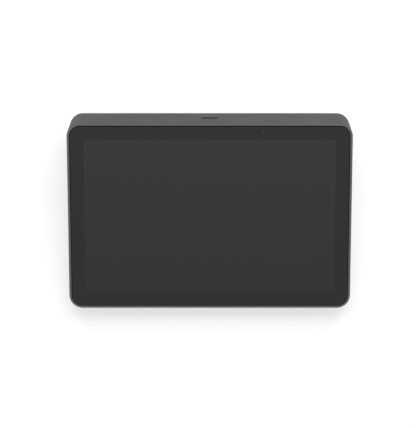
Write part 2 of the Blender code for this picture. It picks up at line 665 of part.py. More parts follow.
def vents():
    """Two columns of slots in the underside, one at each end."""
    bm = bmesh.new()
    half_x, half_y = VENT_SIZE[0] / 2, VENT_SIZE[1] / 2
    for side in (-1, 1):
        for i in range(VENT_COUNT):
            x, y = side * BASE_SCREW_X, BASE_SCREW_MIDDLE + VENT_START + i * VENT_PITCH
            low = (x - half_x, y - half_y, BASE_HEIGHT - CUT)
            high = (x + half_x, y + half_y, BASE_TOP + CUT)
            add_box(bm, low, high, half_y * 0.9, steps=2)
    return to_object("vent_slots", bm)


# ---- screen stack -------------------------------------------------------------------------------------------------


def sensor_place():
    """The lens's middle in the screen's axes."""
    return SENSOR_X, GLASS_LENGTH / 2 - SENSOR_INSET


def cover_glass():
    bm = bmesh.new()
    low = (-GLASS_WIDTH / 2, -GLASS_LENGTH / 2, -GLASS_THICKNESS)
    add_box(bm, low, (GLASS_WIDTH / 2, GLASS_LENGTH / 2, 0), GLASS_RADIUS)
    edge = [e for e in bm.edges if all(abs(v.co.z) < 1e-9 for v in e.verts)]
    bmesh.ops.bevel(bm, geom=edge, offset=GLASS_EDGE, segments=1, affect="EDGES")
    glass = to_object("cover_glass", bm, GLASS, SCREEN_FRAME)
    low_z, radius = -GLASS_THICKNESS - CUT, SENSOR_RADIUS + FIT_GAP
    return cut(glass, post_group("lens_hole", [sensor_place()], low_z, CUT, radius, parent=SCREEN_FRAME))


def presence_sensor():
    """The lens in the glass, the board behind it and the flex that leads from it to the main board."""
    x, v = sensor_place()
    post_group("presence_sensor_lens", [(x, v)], -GLASS_THICKNESS, 0, SENSOR_RADIUS, LENS, SCREEN_FRAME)
    top = -GLASS_THICKNESS - FIT_GAP
    low = (x - SENSOR_BOARD[0] / 2, v - SENSOR_BOARD[1] / 2, top - SENSOR_BOARD[2])
    high = (x + SENSOR_BOARD[0] / 2, v + SENSOR_BOARD[1] / 2, top)
    box_object("sensor_board", low, high, BOARD_GREEN, parent=SCREEN_FRAME)


def glass_gasket():
    outer = screen_slab(
        "glass_gasket",
        GLASS_WIDTH,
        GLASS_LENGTH,
        GLASS_THICKNESS + FIT_GAP,
        GLASS_THICKNESS + FIT_GAP + GASKET_THICKNESS,
        GLASS_RADIUS,
        RUBBER,
    )
    width = LEDGE_WIDTH - FIT_GAP
    inner = screen_slab(
        "gasket_window",
        GLASS_WIDTH - 2 * width,
        GLASS_LENGTH - 2 * width,
        GLASS_THICKNESS,
        LEDGE_TOP,
        GLASS_RADIUS - width,
    )
    return cut(outer, inner)


def display_module():
    layers = (
        ("touch_sensor", TOUCH_TOP, TOUCH_THICKNESS, GLASS, 0.0),
        ("lcd_panel", LCD_TOP, LCD_THICKNESS, CHIP_BLACK, 0.0),
        ("backlight_unit", BACKLIGHT_TOP, BACKLIGHT_THICKNESS, LIGHT_WHITE, TRAY_LIP + FIT_GAP),
    )
    for name, top, thickness, material, inset in layers:
        screen_slab(
            name,
            LCD_WIDTH - 2 * inset,
            LCD_LENGTH - 2 * inset,
            top,
            top + thickness,
            LCD_CORNER,
            material,
            LCD_OFFSET,
        )
    tray = screen_slab(
        "lcd_rear_tray",
        LCD_WIDTH,
        LCD_LENGTH,
        BACKLIGHT_TOP,
        TRAY_TOP + TRAY_THICKNESS,
        LCD_CORNER,
        STEEL,
        LCD_OFFSET,
    )
    space = screen_slab(
        "tray_space",
        LCD_WIDTH - 2 * TRAY_LIP,
        LCD_LENGTH - 2 * TRAY_LIP,
        BACKLIGHT_TOP - CUT,
        TRAY_TOP,
        LCD_CORNER / 2,
        offset=LCD_OFFSET,
    )
    return cut(tray, space)


def frame_underside(y):
    """Height of the mid frame's lower face above the table, at a place along the object."""
    return SCREEN_Z + (y - SCREEN_Y) * TAN - FRAME_BOTTOM / COS


def mid_frame():
    """The plate that carries the screen, with posts down to the base cover's screws."""
    wide = BODY_WIDTH / 2 - WALL - 2 * FIT_GAP
    step = FRAME_STEP - FACE_LENGTH / 2
    frame = box_object(
        "mid_frame",
        (-wide, step, -FRAME_BOTTOM),
        (wide, FRAME_REAR, -FRAME_TOP),
        ALUMINIUM,
        FRAME_CORNER,
        parent=SCREEN_FRAME,
    )
    nose = box_object(
        "frame_nose",
        (-wide + FRAME_NARROWING, FRAME_FRONT, -FRAME_BOTTOM),
        (wide - FRAME_NARROWING, step + 2 * FRAME_CORNER, -FRAME_TOP),
        radius=FRAME_CORNER,
        parent=SCREEN_FRAME,
    )
    join(frame, nose)
    post_bm, hole_bm = bmesh.new(), bmesh.new()
    low_z = BASE_TOWER_TOP + FIT_GAP
    for x, y in BASE_SCREW_POINTS:
        high_z = frame_underside(y) + FRAME_THICKNESS / 2
        add_post(post_bm, x, y, low_z, high_z, SCREW_HEAD_RADIUS + 2 * FIT_GAP)
        add_post(hole_bm, x, y, low_z - CUT, BASE_SCREW_TOP + FIT_GAP, SCREW_RADIUS + FIT_GAP)
    join(frame, to_object("frame_posts", post_bm))
    cut(frame, to_object("frame_post_holes", hole_bm))
    screw_holes = post_group(
        "frame_screw_holes",
        FRAME_SCREW_POINTS,
        -FRAME_BOTTOM - CUT,
        -FRAME_TOP + CUT,
        SCREW_RADIUS + FIT_GAP,
        parent=SCREEN_FRAME,
    )
    flex_slots = bmesh.new()
    for x, v, width, _ in FLEX_RUNS.values():
        add_box(
            flex_slots,
            (x - width / 2 - CUT, v - FLEX_SLOT_HALF_LENGTH, -FRAME_BOTTOM - CUT),
            (x + width / 2 + CUT, v + FLEX_SLOT_HALF_LENGTH, -FRAME_TOP + CUT),
        )
    return cut(frame, screw_holes, to_object("flex_slots", flex_slots, None, SCREEN_FRAME))


# ---- electronics --------------------------------------------------------------------------------------------------


def ribbon(name, points, width, x):
    """A flat flex cable: a chain of edges in the YZ plane, extruded across and thickened."""
    bm = bmesh.new()
    chain = [bm.verts.new((x - width / 2, y, z)) for y, z in points]
    edges = [bm.edges.new(pair) for pair in zip(chain, chain[1:])]
    side = bmesh.ops.extrude_edge_only(bm, edges=edges)["geom"]
    bmesh.ops.translate(bm, vec=(width, 0, 0), verts=[g for g in side if isinstance(g, bmesh.types.BMVert)])
    made = to_object(name, bm, FLEX_AMBER)
    thicken = made.modifiers.new("thickness", "SOLIDIFY")
    thicken.thickness = FLEX_THICKNESS
    thicken.offset = 0.0
    return made


def screen_point(v, depth):
    """(y, z) in the world of a point up the slope and below the front plane."""
    return SCREEN_Y + v * COS + depth * SIN, SCREEN_Z + v * SIN - depth * COS


def flexes():
    board_z = BOARD_TOP + FLEX_THICKNESS + FIT_GAP
    for name, (x, v, width, board_y) in FLEX_RUNS.items():
        start = screen_point(v, TRAY_TOP + TRAY_THICKNESS + 2 * FIT_GAP)
        below = screen_point(v, FRAME_BOTTOM + FLEX_BOW)
        slack = (below[0] + FLEX_BOW, (below[1] + board_z) / 2)
        path = [start, below, slack, (below[0], board_z + FLEX_BOW), (board_y, board_z)]
        ribbon(name, path, width, x)

    # the sensor's flex runs down behind the frame's rear edge, over the bay, to the main board
    x, v = sensor_place()
    depth = GLASS_THICKNESS + 2 * FIT_GAP + SENSOR_BOARD[2] + FLEX_THICKNESS
    edge = FRAME_REAR + SENSOR_FLEX_CLEARANCE
    under_edge = screen_point(edge, FRAME_BOTTOM + FLEX_BOW)
    roof = BAY_CEILING + BAY_WALL + 2 * FIT_GAP
    front = BAY_WALL_FRONT - 4 * FIT_GAP
    path = [
        screen_point(v - SENSOR_BOARD[2], depth),
        screen_point(edge, depth + 2 * FIT_GAP),
        under_edge,
        (under_edge[0] - 4 * FLEX_BOW, roof),
        (front, roof),
        (front, board_z + FLEX_BOW),
        (front - FLEX_BOW, board_z),
    ]
    ribbon("sensor_flex", path, SENSOR_FLEX_WIDTH, x)


def main_board():
    board = box_object(
        "main_board",
        (-BOARD_HALF_WIDTH, BOARD_FRONT, BOARD_Z),
        (BOARD_HALF_WIDTH, BOARD_REAR, BOARD_TOP),
        BOARD_GREEN,
        2.0 * MM,
    )
    holes = post_group(
        "board_holes", BOARD_POINTS, BOARD_Z - CUT, BOARD_TOP + CUT, SCREW_RADIUS + FIT_GAP
    )
    return cut(board, holes)


def chip(name, x, y, size, material, low_z=BOARD_TOP + FIT_GAP):
    """A flat package on the board. Returns the height of its top."""
    low = (x - size[0] / 2, y - size[1] / 2, low_z)
    box_object(name, low, (x + size[0] / 2, y + size[1] / 2, low_z + size[2]), material)
    return low_z + size[2]


def board_parts():
    x, y = PROCESSOR_PLACE
    top = chip("processor", x, y, PROCESSOR, CHIP_BLACK)
    top = chip("thermal_pad", x, y, THERMAL_PAD, LIGHT_WHITE, top + FIT_GAP)
    heat_sink(x, y, top + FIT_GAP)
    chip("wifi_shield", *WIFI_SHIELD_PLACE, WIFI_SHIELD, STEEL)
    chip("power_inductor", *INDUCTOR_PLACE, INDUCTOR, CHIP_BLACK)


def heat_sink(x, y, low_z):
    """A finned block that stays under the mid frame."""
    width, length, plate = HEAT_SINK
    top = frame_underside(y - length / 2) - SINK_HEADROOM
    sink = box_object(
        "heat_sink",
        (x - width / 2, y - length / 2, low_z),
        (x + width / 2, y + length / 2, low_z + plate),
        ALUMINIUM,
    )
    bm = bmesh.new()
    inset = CUT / 2
    pitch = (width - SINK_FIN_THICKNESS - 2 * inset) / (SINK_FINS - 1)
    for i in range(SINK_FINS):
        left = x - width / 2 + inset + i * pitch
        low = (left, y - length / 2 + inset, low_z + plate / 2)
        add_box(bm, low, (left + SINK_FIN_THICKNESS, y + length / 2 - inset, top))
    return join(sink, to_object("sink_fins", bm))


def port_box(x, width, height, grow, y_low, y_high):
    low = (x - width / 2 - grow, y_low, BOARD_TOP + FIT_GAP - grow)
    high = (x + width / 2 + grow, y_high, BOARD_TOP + FIT_GAP + height + grow)
    return low, high


def ports():
    front = BAY_FRONT + PORT_STANDOUT - PORT_DEPTH
    mouth = BAY_FRONT + PORT_STANDOUT
    for name, (x, width, height, wall, tongue) in PORTS.items():
        low, high = port_box(x, width, height, 0, front, mouth)
        shell = box_object(name, low, high, STEEL, min(wall * 1.5, height / 3), "Y")
        low, high = port_box(x, width, height, -wall, front + wall, mouth + CUT)
        cut(shell, box_object(name + "_socket", low, high))
        if tongue:
            mid_z = (low[2] + high[2]) / 2
            half_t = (high[2] - low[2]) / 8
            tongue_low = (low[0] + TONGUE_MARGIN, front + wall / 2, mid_z - half_t)
            tongue_high = (high[0] - TONGUE_MARGIN, mouth - TONGUE_SETBACK, mid_z + half_t)
            join(shell, box_object(name + "_tongue", tongue_low, tongue_high))


def port_holes():
    bm = bmesh.new()
    for x, width, height, _, _ in PORTS.values():
        low, high = port_box(x, width, height, PORT_MARGIN, BAY_WALL_FRONT - CUT, BAY_FRONT + CUT)
        add_box(bm, low, high)
    add_cylinder(bm, reset_middle(BAY_FRONT), RESET_RADIUS + FIT_GAP, 2 * BAY_WALL + CUT, "Y")
    return to_object("port_holes", bm)


def reset_middle(y):
    return RESET_X, y, BOARD_TOP + FIT_GAP + RESET_HEIGHT


def reset_button():
    """The button stands out of the bay's front wall, and its switch is on the board behind."""
    tip = BAY_FRONT + RESET_STANDOUT
    tail = tip - RESET_LENGTH
    bm = add_cylinder(bmesh.new(), (0, -RESET_LENGTH / 2, 0), RESET_RADIUS, RESET_LENGTH, "Y")
    button = to_object("reset_button", bm, RUBBER)
    button.location = reset_middle(tip)
    high_y = tail - RESET_TRAVEL - FIT_GAP
    low = (RESET_X - RESET_SWITCH[0] / 2, high_y - RESET_SWITCH[1], BOARD_TOP + FIT_GAP)
    high = (RESET_X + RESET_SWITCH[0] / 2, high_y, BOARD_TOP + FIT_GAP + RESET_SWITCH[2])
    box_object("reset_switch", low, high, CHIP_BLACK)


def ballast_plate():
    half_x = BASE_HALF_WIDTH - BALLAST_SIDE_MARGIN
    plate = box_object(
        "ballast_plate",
        (-half_x, BASE_FRONT_Y + BALLAST_FRONT_MARGIN, BASE_TOP + FIT_GAP),
        (half_x, BOARD_REAR, BASE_TOP + FIT_GAP + BALLAST_THICKNESS),
        STEEL,
        3.0 * MM,
    )
    inserts_radius = INSERT_BOSS_RADIUS + BALLAST_CLEARANCE
    posts_radius = BOARD_POST_RADIUS + BALLAST_CLEARANCE
    around_inserts = post_group("ballast_insert_holes", INSERT_POINTS, BASE_TOP, BOARD_Z, inserts_radius)
    around_posts = post_group("ballast_post_holes", BOARD_POINTS, BASE_TOP, BOARD_Z, posts_radius)
    return cut(plate, around_inserts, around_posts)


def audio_jack():
    """A round socket in the right wall. Its bore is blind."""
    outer_end = BODY_WIDTH / 2 - WALL / 3
    middle = (outer_end - JACK_LENGTH / 2, JACK_Y, JACK_Z)
    barrel = add_cylinder(bmesh.new(), middle, JACK_RADIUS, JACK_LENGTH, "X")
    jack = to_object("audio_jack", barrel, CHIP_BLACK)
    half_y, half_z = JACK_BLOCK[0] / 2, JACK_BLOCK[1] / 2
    block = box_object(
        "jack_block",
        (outer_end - JACK_LENGTH, JACK_Y - half_y, JACK_Z - half_z),
        (BODY_WIDTH / 2 - WALL - FIT_GAP, JACK_Y + half_y, JACK_Z + half_z),
    )
    mouth = (outer_end, JACK_Y, JACK_Z)
    bore_length = 2 * (JACK_LENGTH - WALL)
    bore = add_cylinder(bmesh.new(), mouth, JACK_RADIUS - JACK_WALL, bore_length, "X")
    join(jack, block)
    return cut(jack, to_object("jack_bore", bore))


def lock_plate():
    """A steel plate behind the security slot, with the slot through it."""
    outer = BODY_WIDTH / 2 - WALL - FIT_GAP
    plate = side_wall_box("lock_plate", LOCK_PLATE[:2], outer, LOCK_PLATE[2], STEEL)
    return cut(plate, side_wall_box("lock_plate_hole", LOCK_SLOT, outer + CUT, 4 * WALL))


def antenna():
    """A flat aerial behind the left wall, above the board."""
    x = -BODY_WIDTH / 2 + WALL + FIT_GAP
    low = (x, ANTENNA_Y[0], ANTENNA_Z[0])
    return box_object("wifi_antenna", low, (x + ANTENNA_THICKNESS, ANTENNA_Y[1], ANTENNA_Z[1]), FLEX_AMBER)


# ---- door, clamp, feet and fasteners ------------------------------------------------------------------------------


def cable_door():
    """Modelled about its hinge line, and placed there."""
    front, low_z = DOOR_FRONT - DOOR_PIVOT_Y, -DOOR_BARREL
    bm = add_box(
        bmesh.new(),
        (-DOOR_HALF_WIDTH, front, low_z),
        (DOOR_HALF_WIDTH, -DOOR_BARREL / 4, low_z + DOOR_THICKNESS),
    )
    door = to_object("cable_door", bm, PLASTIC)
    door.location = (0, DOOR_PIVOT_Y, DOOR_PIVOT_Z)
    barrel = add_cylinder(bmesh.new(), (0, 0, 0), DOOR_BARREL, 2 * DOOR_HALF_WIDTH, "X", 2 * ROUND_SIDES)
    pins = bmesh.new()
    for side in (-1, 1):
        middle = (side * DOOR_HALF_WIDTH, 0, 0)
        add_cylinder(pins, middle, DOOR_PIN_RADIUS + FIT_GAP, DOOR_PIN_LENGTH + 2 * FIT_GAP, "X")
    notch = add_post(bmesh.new(), 0, front, low_z - CUT, low_z + NOTCH_DEPTH, NOTCH_RADIUS)
    join(door, to_object("door_barrel", barrel, None, door))
    pin_holes = to_object("door_pin_holes", pins, None, door)
    return cut(door, pin_holes, to_object("finger_notch", notch, None, door))


def door_pins():
    for name, side in (("door_pin_left", -1), ("door_pin_right", 1)):
        middle = (side * (DOOR_HALF_WIDTH + FIT_GAP / 2), DOOR_PIVOT_Y, DOOR_PIVOT_Z)
        bm = add_cylinder(bmesh.new(), middle, DOOR_PIN_RADIUS, DOOR_PIN_LENGTH, "X")
        to_object(name, bm, STEEL)


def magnet_box(name, grow, material=None):
    """The magnet lies in the shelf in front of the door's front edge."""
    y = (BAY_FRONT + DOOR_FRONT - FIT_GAP) / 2
    half_x, half_y, half_z = (side / 2 + grow for side in MAGNET)
    low = (MAGNET_X - half_x, y - half_y, BASE_TOP - half_z)
    high = (MAGNET_X + half_x, y + half_y, BASE_TOP + half_z)
    return box_object(name, low, high, material)


def magnet_seat():
    return magnet_box("magnet_seat", FIT_GAP)


def cable_clamp():
    """A bar that swings about its left post. Its right end is a hook round the lock screw, open in front."""
    bm = add_box(
        bmesh.new(),
        (0, -CLAMP_WIDTH / 2, 0),
        (2 * CLAMP_POST_X + CLAMP_WIDTH / 2, CLAMP_WIDTH / 2, CLAMP_THICKNESS),
        CLAMP_WIDTH / 5,
        steps=4,
    )
    clamp = to_object("cable_clamp", bm, PLASTIC)
    clamp.location = (-CLAMP_POST_X, CLAMP_Y, CLAMP_Z)
    eye = add_post(bmesh.new(), 0, 0, 0, CLAMP_THICKNESS, CLAMP_WIDTH / 2)
    join(clamp, to_object("clamp_eye", eye, None, clamp))
    hole_radius = SCREW_RADIUS + FIT_GAP
    holes = bmesh.new()
    add_post(holes, 0, 0, -CUT, CLAMP_THICKNESS + CUT, hole_radius)
    slot_low = (2 * CLAMP_POST_X - hole_radius, -hole_radius, -CUT)
    slot_high = (2 * CLAMP_POST_X + hole_radius, CLAMP_WIDTH, CLAMP_THICKNESS + CUT)
    add_box(holes, slot_low, slot_high)
    return cut(clamp, to_object("clamp_holes", holes, None, clamp))


def feet():
    for name, (left, right, y) in FEET.items():
        low = (left, y - FOOT_WIDTH / 2, 0)
        high = (right, y + FOOT_WIDTH / 2, FOOT_HEIGHT)
        bm = add_box(bmesh.new(), low, high, FOOT_WIDTH / 2 * STADIUM, steps=5)
        to_object(name, bm, RUBBER)


def screw_mesh(name, length):
    """A half section, head up, for the Screw modifier: down its outer side, from the socket to the tip."""
    profile = [
        (0, -SOCKET_DEPTH),
        (SOCKET_RADIUS, -SOCKET_DEPTH),
        (SOCKET_RADIUS, 0),
        (SCREW_HEAD_RADIUS, 0),
        (SCREW_HEAD_RADIUS, -SCREW_HEAD_HEIGHT),
        (SCREW_RADIUS, -SCREW_HEAD_HEIGHT),
        (SCREW_RADIUS, -SCREW_HEAD_HEIGHT - length + SCREW_POINT),
        (SCREW_RADIUS / 2, -SCREW_HEAD_HEIGHT - length),
        (0, -SCREW_HEAD_HEIGHT - length),
    ]
    mesh = bpy.data.meshes.new(name)
    verts = [(x, 0, z) for x, z in profile]
    mesh.from_pydata(verts, [(i, i + 1) for i in range(len(verts) - 1)], [])
    mesh.materials.append(STEEL)
    return mesh


def screw(name, mesh, place, turn=(0, 0, 0), parent=None):
    """place is the top of the head. With no turn the head is up."""
    made = bpy.data.objects.new(name, mesh)
    PARTS.objects.link(made)
    made.parent = parent
    made.location = place
    made.rotation_euler = turn
    spin = made.modifiers.new("turned", "SCREW")
    spin.steps = spin.render_steps = SCREW_STEPS
    spin.merge_threshold = 0.01 * MM
    spin.use_merge_vertices = True
    spin.use_smooth_shade = True
    return made


def screws():
    over = (math.pi, 0, 0)
    head_z = BASE_HEIGHT + 2 * FIT_GAP
    base_mesh = screw_mesh("base_screw", BASE_SCREW_TOP - head_z - SCREW_HEAD_HEIGHT)
    for i, (x, y) in enumerate(BASE_SCREW_POINTS, 1):
        screw(f"base_screw_{i}", base_mesh, (x, y, head_z), over)
    board_head = BOARD_TOP + FIT_GAP + SCREW_HEAD_HEIGHT
    board_mesh = screw_mesh("board_screw", BOARD_TOP - BASE_TOP - FIT_GAP)
    for i, (x, y) in enumerate(BOARD_POINTS, 1):
        screw(f"board_screw_{i}", board_mesh, (x, y, board_head))
    frame_head = -FRAME_BOTTOM - FIT_GAP - SCREW_HEAD_HEIGHT
    frame_mesh = screw_mesh("frame_screw", FRAME_BOTTOM - LEDGE_BOTTOM)
    for i, (x, v) in enumerate(FRAME_SCREW_POINTS, 1):
        screw(f"frame_screw_{i}", frame_mesh, (x, v, frame_head), over, SCREEN_FRAME)
    clamp_head = CLAMP_Z - FIT_GAP - SCREW_HEAD_HEIGHT
    clamp_mesh = screw_mesh("clamp_screw", CLAMP_THICKNESS + CLAMP_SCREW_HOLD)
    screw("clamp_pivot_screw", clamp_mesh, (-CLAMP_POST_X, CLAMP_Y, clamp_head), over)
    screw("clamp_lock_screw", clamp_mesh, (CLAMP_POST_X, CLAMP_Y, clamp_head), over)


def mount_inserts():
    """Threaded brass inserts, flush with the underside, at the corners of a square."""
    for i, (x, y) in enumerate(INSERT_POINTS, 1):
        low_z, high_z = BASE_HEIGHT, BASE_HEIGHT + INSERT_LENGTH - 2 * FIT_GAP
        insert = to_object(
            f"mount_insert_{i}", add_post(bmesh.new(), x, y, low_z, high_z, INSERT_RADIUS), BRASS
        )
        bore = add_post(bmesh.new(), x, y, low_z - CUT, high_z + CUT, INSERT_BORE)
        cut(insert, to_object(f"insert_bore_{i}", bore))


# ---- the object ---------------------------------------------------------------------------------------------------

upper_housing()
base_cover()
cover_glass()
presence_sensor()
glass_gasket()
display_module()
mid_frame()
flexes()
ballast_plate()
main_board()
board_parts()
ports()
reset_button()
audio_jack()
lock_plate()
antenna()
badge_box("rear_badge", 0.0, BADGE[2], GLASS)
cable_door()
door_pins()
magnet_box("door_magnet", 0.0, STEEL)
cable_clamp()
feet()
screws()
mount_inserts()
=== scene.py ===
"""The looks of a wedge-shaped tabletop smart display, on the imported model's frame."""

import json
import math

import bmesh
import bpy
from mathutils import Matrix, Vector


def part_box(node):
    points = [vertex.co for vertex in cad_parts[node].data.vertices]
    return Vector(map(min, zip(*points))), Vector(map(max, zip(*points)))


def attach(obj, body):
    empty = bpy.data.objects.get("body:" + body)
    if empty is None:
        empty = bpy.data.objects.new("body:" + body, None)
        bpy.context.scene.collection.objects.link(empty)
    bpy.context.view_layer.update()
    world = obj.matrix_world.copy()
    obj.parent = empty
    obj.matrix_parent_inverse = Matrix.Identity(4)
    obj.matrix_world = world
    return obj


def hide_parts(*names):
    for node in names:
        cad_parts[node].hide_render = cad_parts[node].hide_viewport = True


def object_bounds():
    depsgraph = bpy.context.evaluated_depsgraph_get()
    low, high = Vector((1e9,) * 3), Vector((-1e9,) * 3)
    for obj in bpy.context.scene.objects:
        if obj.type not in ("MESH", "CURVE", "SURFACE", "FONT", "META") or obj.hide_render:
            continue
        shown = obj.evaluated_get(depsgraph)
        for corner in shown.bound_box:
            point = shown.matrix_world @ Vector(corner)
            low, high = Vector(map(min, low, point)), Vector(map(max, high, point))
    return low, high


MM = 0.001
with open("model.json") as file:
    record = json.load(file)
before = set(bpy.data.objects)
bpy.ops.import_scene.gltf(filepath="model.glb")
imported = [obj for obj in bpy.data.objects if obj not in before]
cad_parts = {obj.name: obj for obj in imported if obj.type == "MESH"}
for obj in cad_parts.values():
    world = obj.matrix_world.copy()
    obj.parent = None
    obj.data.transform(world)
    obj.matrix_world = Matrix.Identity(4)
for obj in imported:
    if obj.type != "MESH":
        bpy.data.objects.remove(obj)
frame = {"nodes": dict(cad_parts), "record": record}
CAD_LOW, CAD_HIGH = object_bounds()

# ---- sizes, the same as the CAD's ------------------------------------------------------------------------

BODY_WIDTH = 246.0 * MM
FACE_LENGTH = 165.4 * MM
SCREEN_TILT = math.radians(14.5)
KNEE_HEIGHT = 12.5 * MM
NOSE_HEIGHT = 1.86 * MM
BASE_HEIGHT = 1.5 * MM
UNDERCUT = 9.0 * MM
CORNER_RADIUS = 11.6 * MM
WALL = 2.1 * MM
FIT_GAP = 0.3 * MM
GLASS_THICKNESS = 1.8 * MM
GLASS_EDGE = 0.25 * MM  # radius of its front edge
LEDGE_DEPTH = 2.9 * MM
LEDGE_BOTTOM = 4.4 * MM
LEDGE_WIDTH = 3.6 * MM
BASE_RIM = 2.4 * MM
BASE_TOP = 4.0 * MM
ARCH_RADIUS = 13.0 * MM
ARCH_CENTRE_Z = -1.4 * MM
LOCK_Y = 46.0 * MM  # the security slot, in the right wall
LOCK_Z = 20.5 * MM
LOCK_SIZE = (7.0 * MM, 3.0 * MM)
BADGE_DROP = 23.0 * MM  # below the face, down the rear wall
BADGE_SIZE = (15.0 * MM, 7.0 * MM)
JACK_PLACE = Vector((BODY_WIDTH / 2, -6.0 * MM, 17.5 * MM))
JACK_HOLE_RADIUS = 2.1 * MM
DOOR_THICKNESS = 2.0 * MM
DOOR_BARREL = 1.7 * MM
SCREW_RADIUS = 1.25 * MM
BASE_SCREWS = 6
INSERTS = 4

COS, SIN, TAN = math.cos(SCREEN_TILT), math.sin(SCREEN_TILT), math.tan(SCREEN_TILT)
KNEE_REAR_Y = CAD_HIGH.y
SCREEN_Z = KNEE_HEIGHT + NOSE_HEIGHT + FACE_LENGTH / 2 * SIN
BACK_HEIGHT = (FACE_LENGTH * SIN + NOSE_HEIGHT) / COS
SCREEN_Y = KNEE_REAR_Y - BACK_HEIGHT * SIN - FACE_LENGTH / 2 * COS
KNEE_FRONT_Y = SCREEN_Y - FACE_LENGTH / 2 * COS + NOSE_HEIGHT * TAN
KNEE_MIDDLE_Y = (KNEE_FRONT_Y + KNEE_REAR_Y) / 2
KNEE_HALF_Y = (KNEE_REAR_Y - KNEE_FRONT_Y) / 2
GLASS_WIDTH = BODY_WIDTH - 2 * (WALL + FIT_GAP)
GLASS_LENGTH = FACE_LENGTH - 2 * (WALL + FIT_GAP)
GLASS_RADIUS = CORNER_RADIUS - WALL - FIT_GAP
LENS_X = 45.7 * MM
LENS_Y = GLASS_LENGTH / 2 - 5.7 * MM
LENS_RADIUS = 1.6 * MM
LENS_GAP = 0.12 * MM

# ---- sizes that only the looks have ----------------------------------------------------------------------

ACTIVE_WIDTH = 216.96 * MM
ACTIVE_LENGTH = 135.6 * MM
ACTIVE_OFFSET = 0.54 * MM  # up the slope from the glass's middle
ACTIVE_LINE = 0.5 * MM  # the fine line just inside the active area's edge
RIM_FILLET = 0.9 * MM
RIM_STEPS = 7
KNEE_FILLET = 0.7 * MM
FOOT_FILLET = 0.8 * MM  # where the undercut meets the underside
LIP_CHAMFER = 0.2 * MM  # on the rim's inner edge
COVER_CHAMFER = 0.25 * MM  # round the base cover's hole
GAP_RINGS = 3  # of the shell's rings, those in the gap round the glass, in painted shade
RIM_RINGS = 5  # and then those of the flat rim, which take the painted highlight
HOUSING_BEVEL = 0.22 * MM
SEAT_GAP = 0.15 * MM  # round the badge
SEAT_DEPTH = 1.0 * MM
STADIUM = 0.98  # a corner radius this share of the half height makes a round end
DOOR_BARREL_GAP = 0.4 * MM  # from the barrel's axis to the plate's rear edge
KNUCKLES = 7
SCOOP_DEPTH = 1.2 * MM
SCOOP_RADIUS = 7.0 * MM
RIB_X = 40.0 * MM
RIB = (0.6 * MM, 14.0 * MM, 0.4 * MM)  # half width, half length, corner radius
GROOVES = 3
GROOVE = (6.0 * MM, 0.5 * MM, 0.49 * MM)  # half width, half length, corner radius
GROOVE_DEPTH = 0.35 * MM
GROOVE_PITCH = 2.4 * MM
FIRST_GROOVE = 10.0 * MM  # behind the door's front edge
THREAD_PITCH = 0.5 * MM
THREAD_DEPTH = 0.22 * MM
SCREW_BEVEL = 0.05 * MM
DOOR_BEVEL = 0.1 * MM
KNURL = 0.955  # of the radius, between two teeth

SCREEN = Matrix.Translation((0, SCREEN_Y, SCREEN_Z)) @ Matrix.Rotation(SCREEN_TILT, 4, "X")

# ---- camera, floor and light -----------------------------------------------------------------------------

CAMERA_PLACE = (-1.51 * MM, SCREEN_Y + 2.48 * MM, SCREEN_Z + 1.713)
CAMERA_LENS = 166.04  # mm, for a 36 mm sensor
FLOOR_HALF_WIDTH = 8.0
FLOOR_GAP = 0.02 * MM  # from the floor up to the feet
# The floor's glow fades in between these two, round a painted contact shadow under and just past the base.
GLOW_STARTS = -10.0 * MM  # from the base's outline outwards
GLOW_FULL = 6.0 * MM


def add_to_scene(made):
    """Links the new object to the scene, and returns it."""
    bpy.context.scene.collection.objects.link(made)
    return made


def make_camera():
    """Looks straight down at the screen from far above."""
    data = bpy.data.cameras.new("camera")
    data.sensor_fit = "AUTO"
    data.sensor_width = 36.0
    data.lens = CAMERA_LENS
    data.clip_start = 0.05
    data.clip_end = 50.0
    made = add_to_scene(bpy.data.objects.new("camera", data))
    made.location = CAMERA_PLACE
    bpy.context.scene.camera = made


def make_light(name, place, aim, size, watts):
    """A soft rectangular light that the camera doesn't see."""
    data = bpy.data.lights.new(name, "AREA")
    data.shape = "RECTANGLE"
    data.size, data.size_y = size
    data.energy = watts
    made = bpy.data.objects.new(name, data)
    made.location = place
    made.rotation_euler = (Vector(aim) - Vector(place)).to_track_quat("-Z", "Y").to_euler()
    made.visible_camera = False
    add_to_scene(made)


def make_world(horizon, zenith, tilt):
    """A pale room, brighter overhead, and a little brighter behind the object than in front of it."""
    world = bpy.data.worlds.new("studio")
    bpy.context.scene.world = world
    world.use_nodes = True
    nodes, links = world.node_tree.nodes, world.node_tree.links
    coords = nodes.new("ShaderNodeTexCoord")
    split = nodes.new("ShaderNodeSeparateXYZ")
    links.new(coords.outputs["Generated"], split.inputs[0])
    rise = nodes.new("ShaderNodeMapRange")
    rise.inputs["From Min"].default_value = 0.0
    rise.inputs["From Max"].default_value = 0.9
    rise.inputs["To Min"].default_value = horizon
    rise.inputs["To Max"].default_value = zenith
    links.new(split.outputs["Z"], rise.inputs["Value"])
    lean = nodes.new("ShaderNodeMath")
    lean.operation = "MULTIPLY_ADD"
    lean.inputs[1].default_value = tilt
    links.new(split.outputs["Y"], lean.inputs[0])
    links.new(rise.outputs["Result"], lean.inputs[2])
    links.new(lean.outputs[0], nodes["Background"].inputs["Strength"])
    nodes["Background"].inputs["Color"].default_value = (1.0, 1.0, 1.0, 1.0)


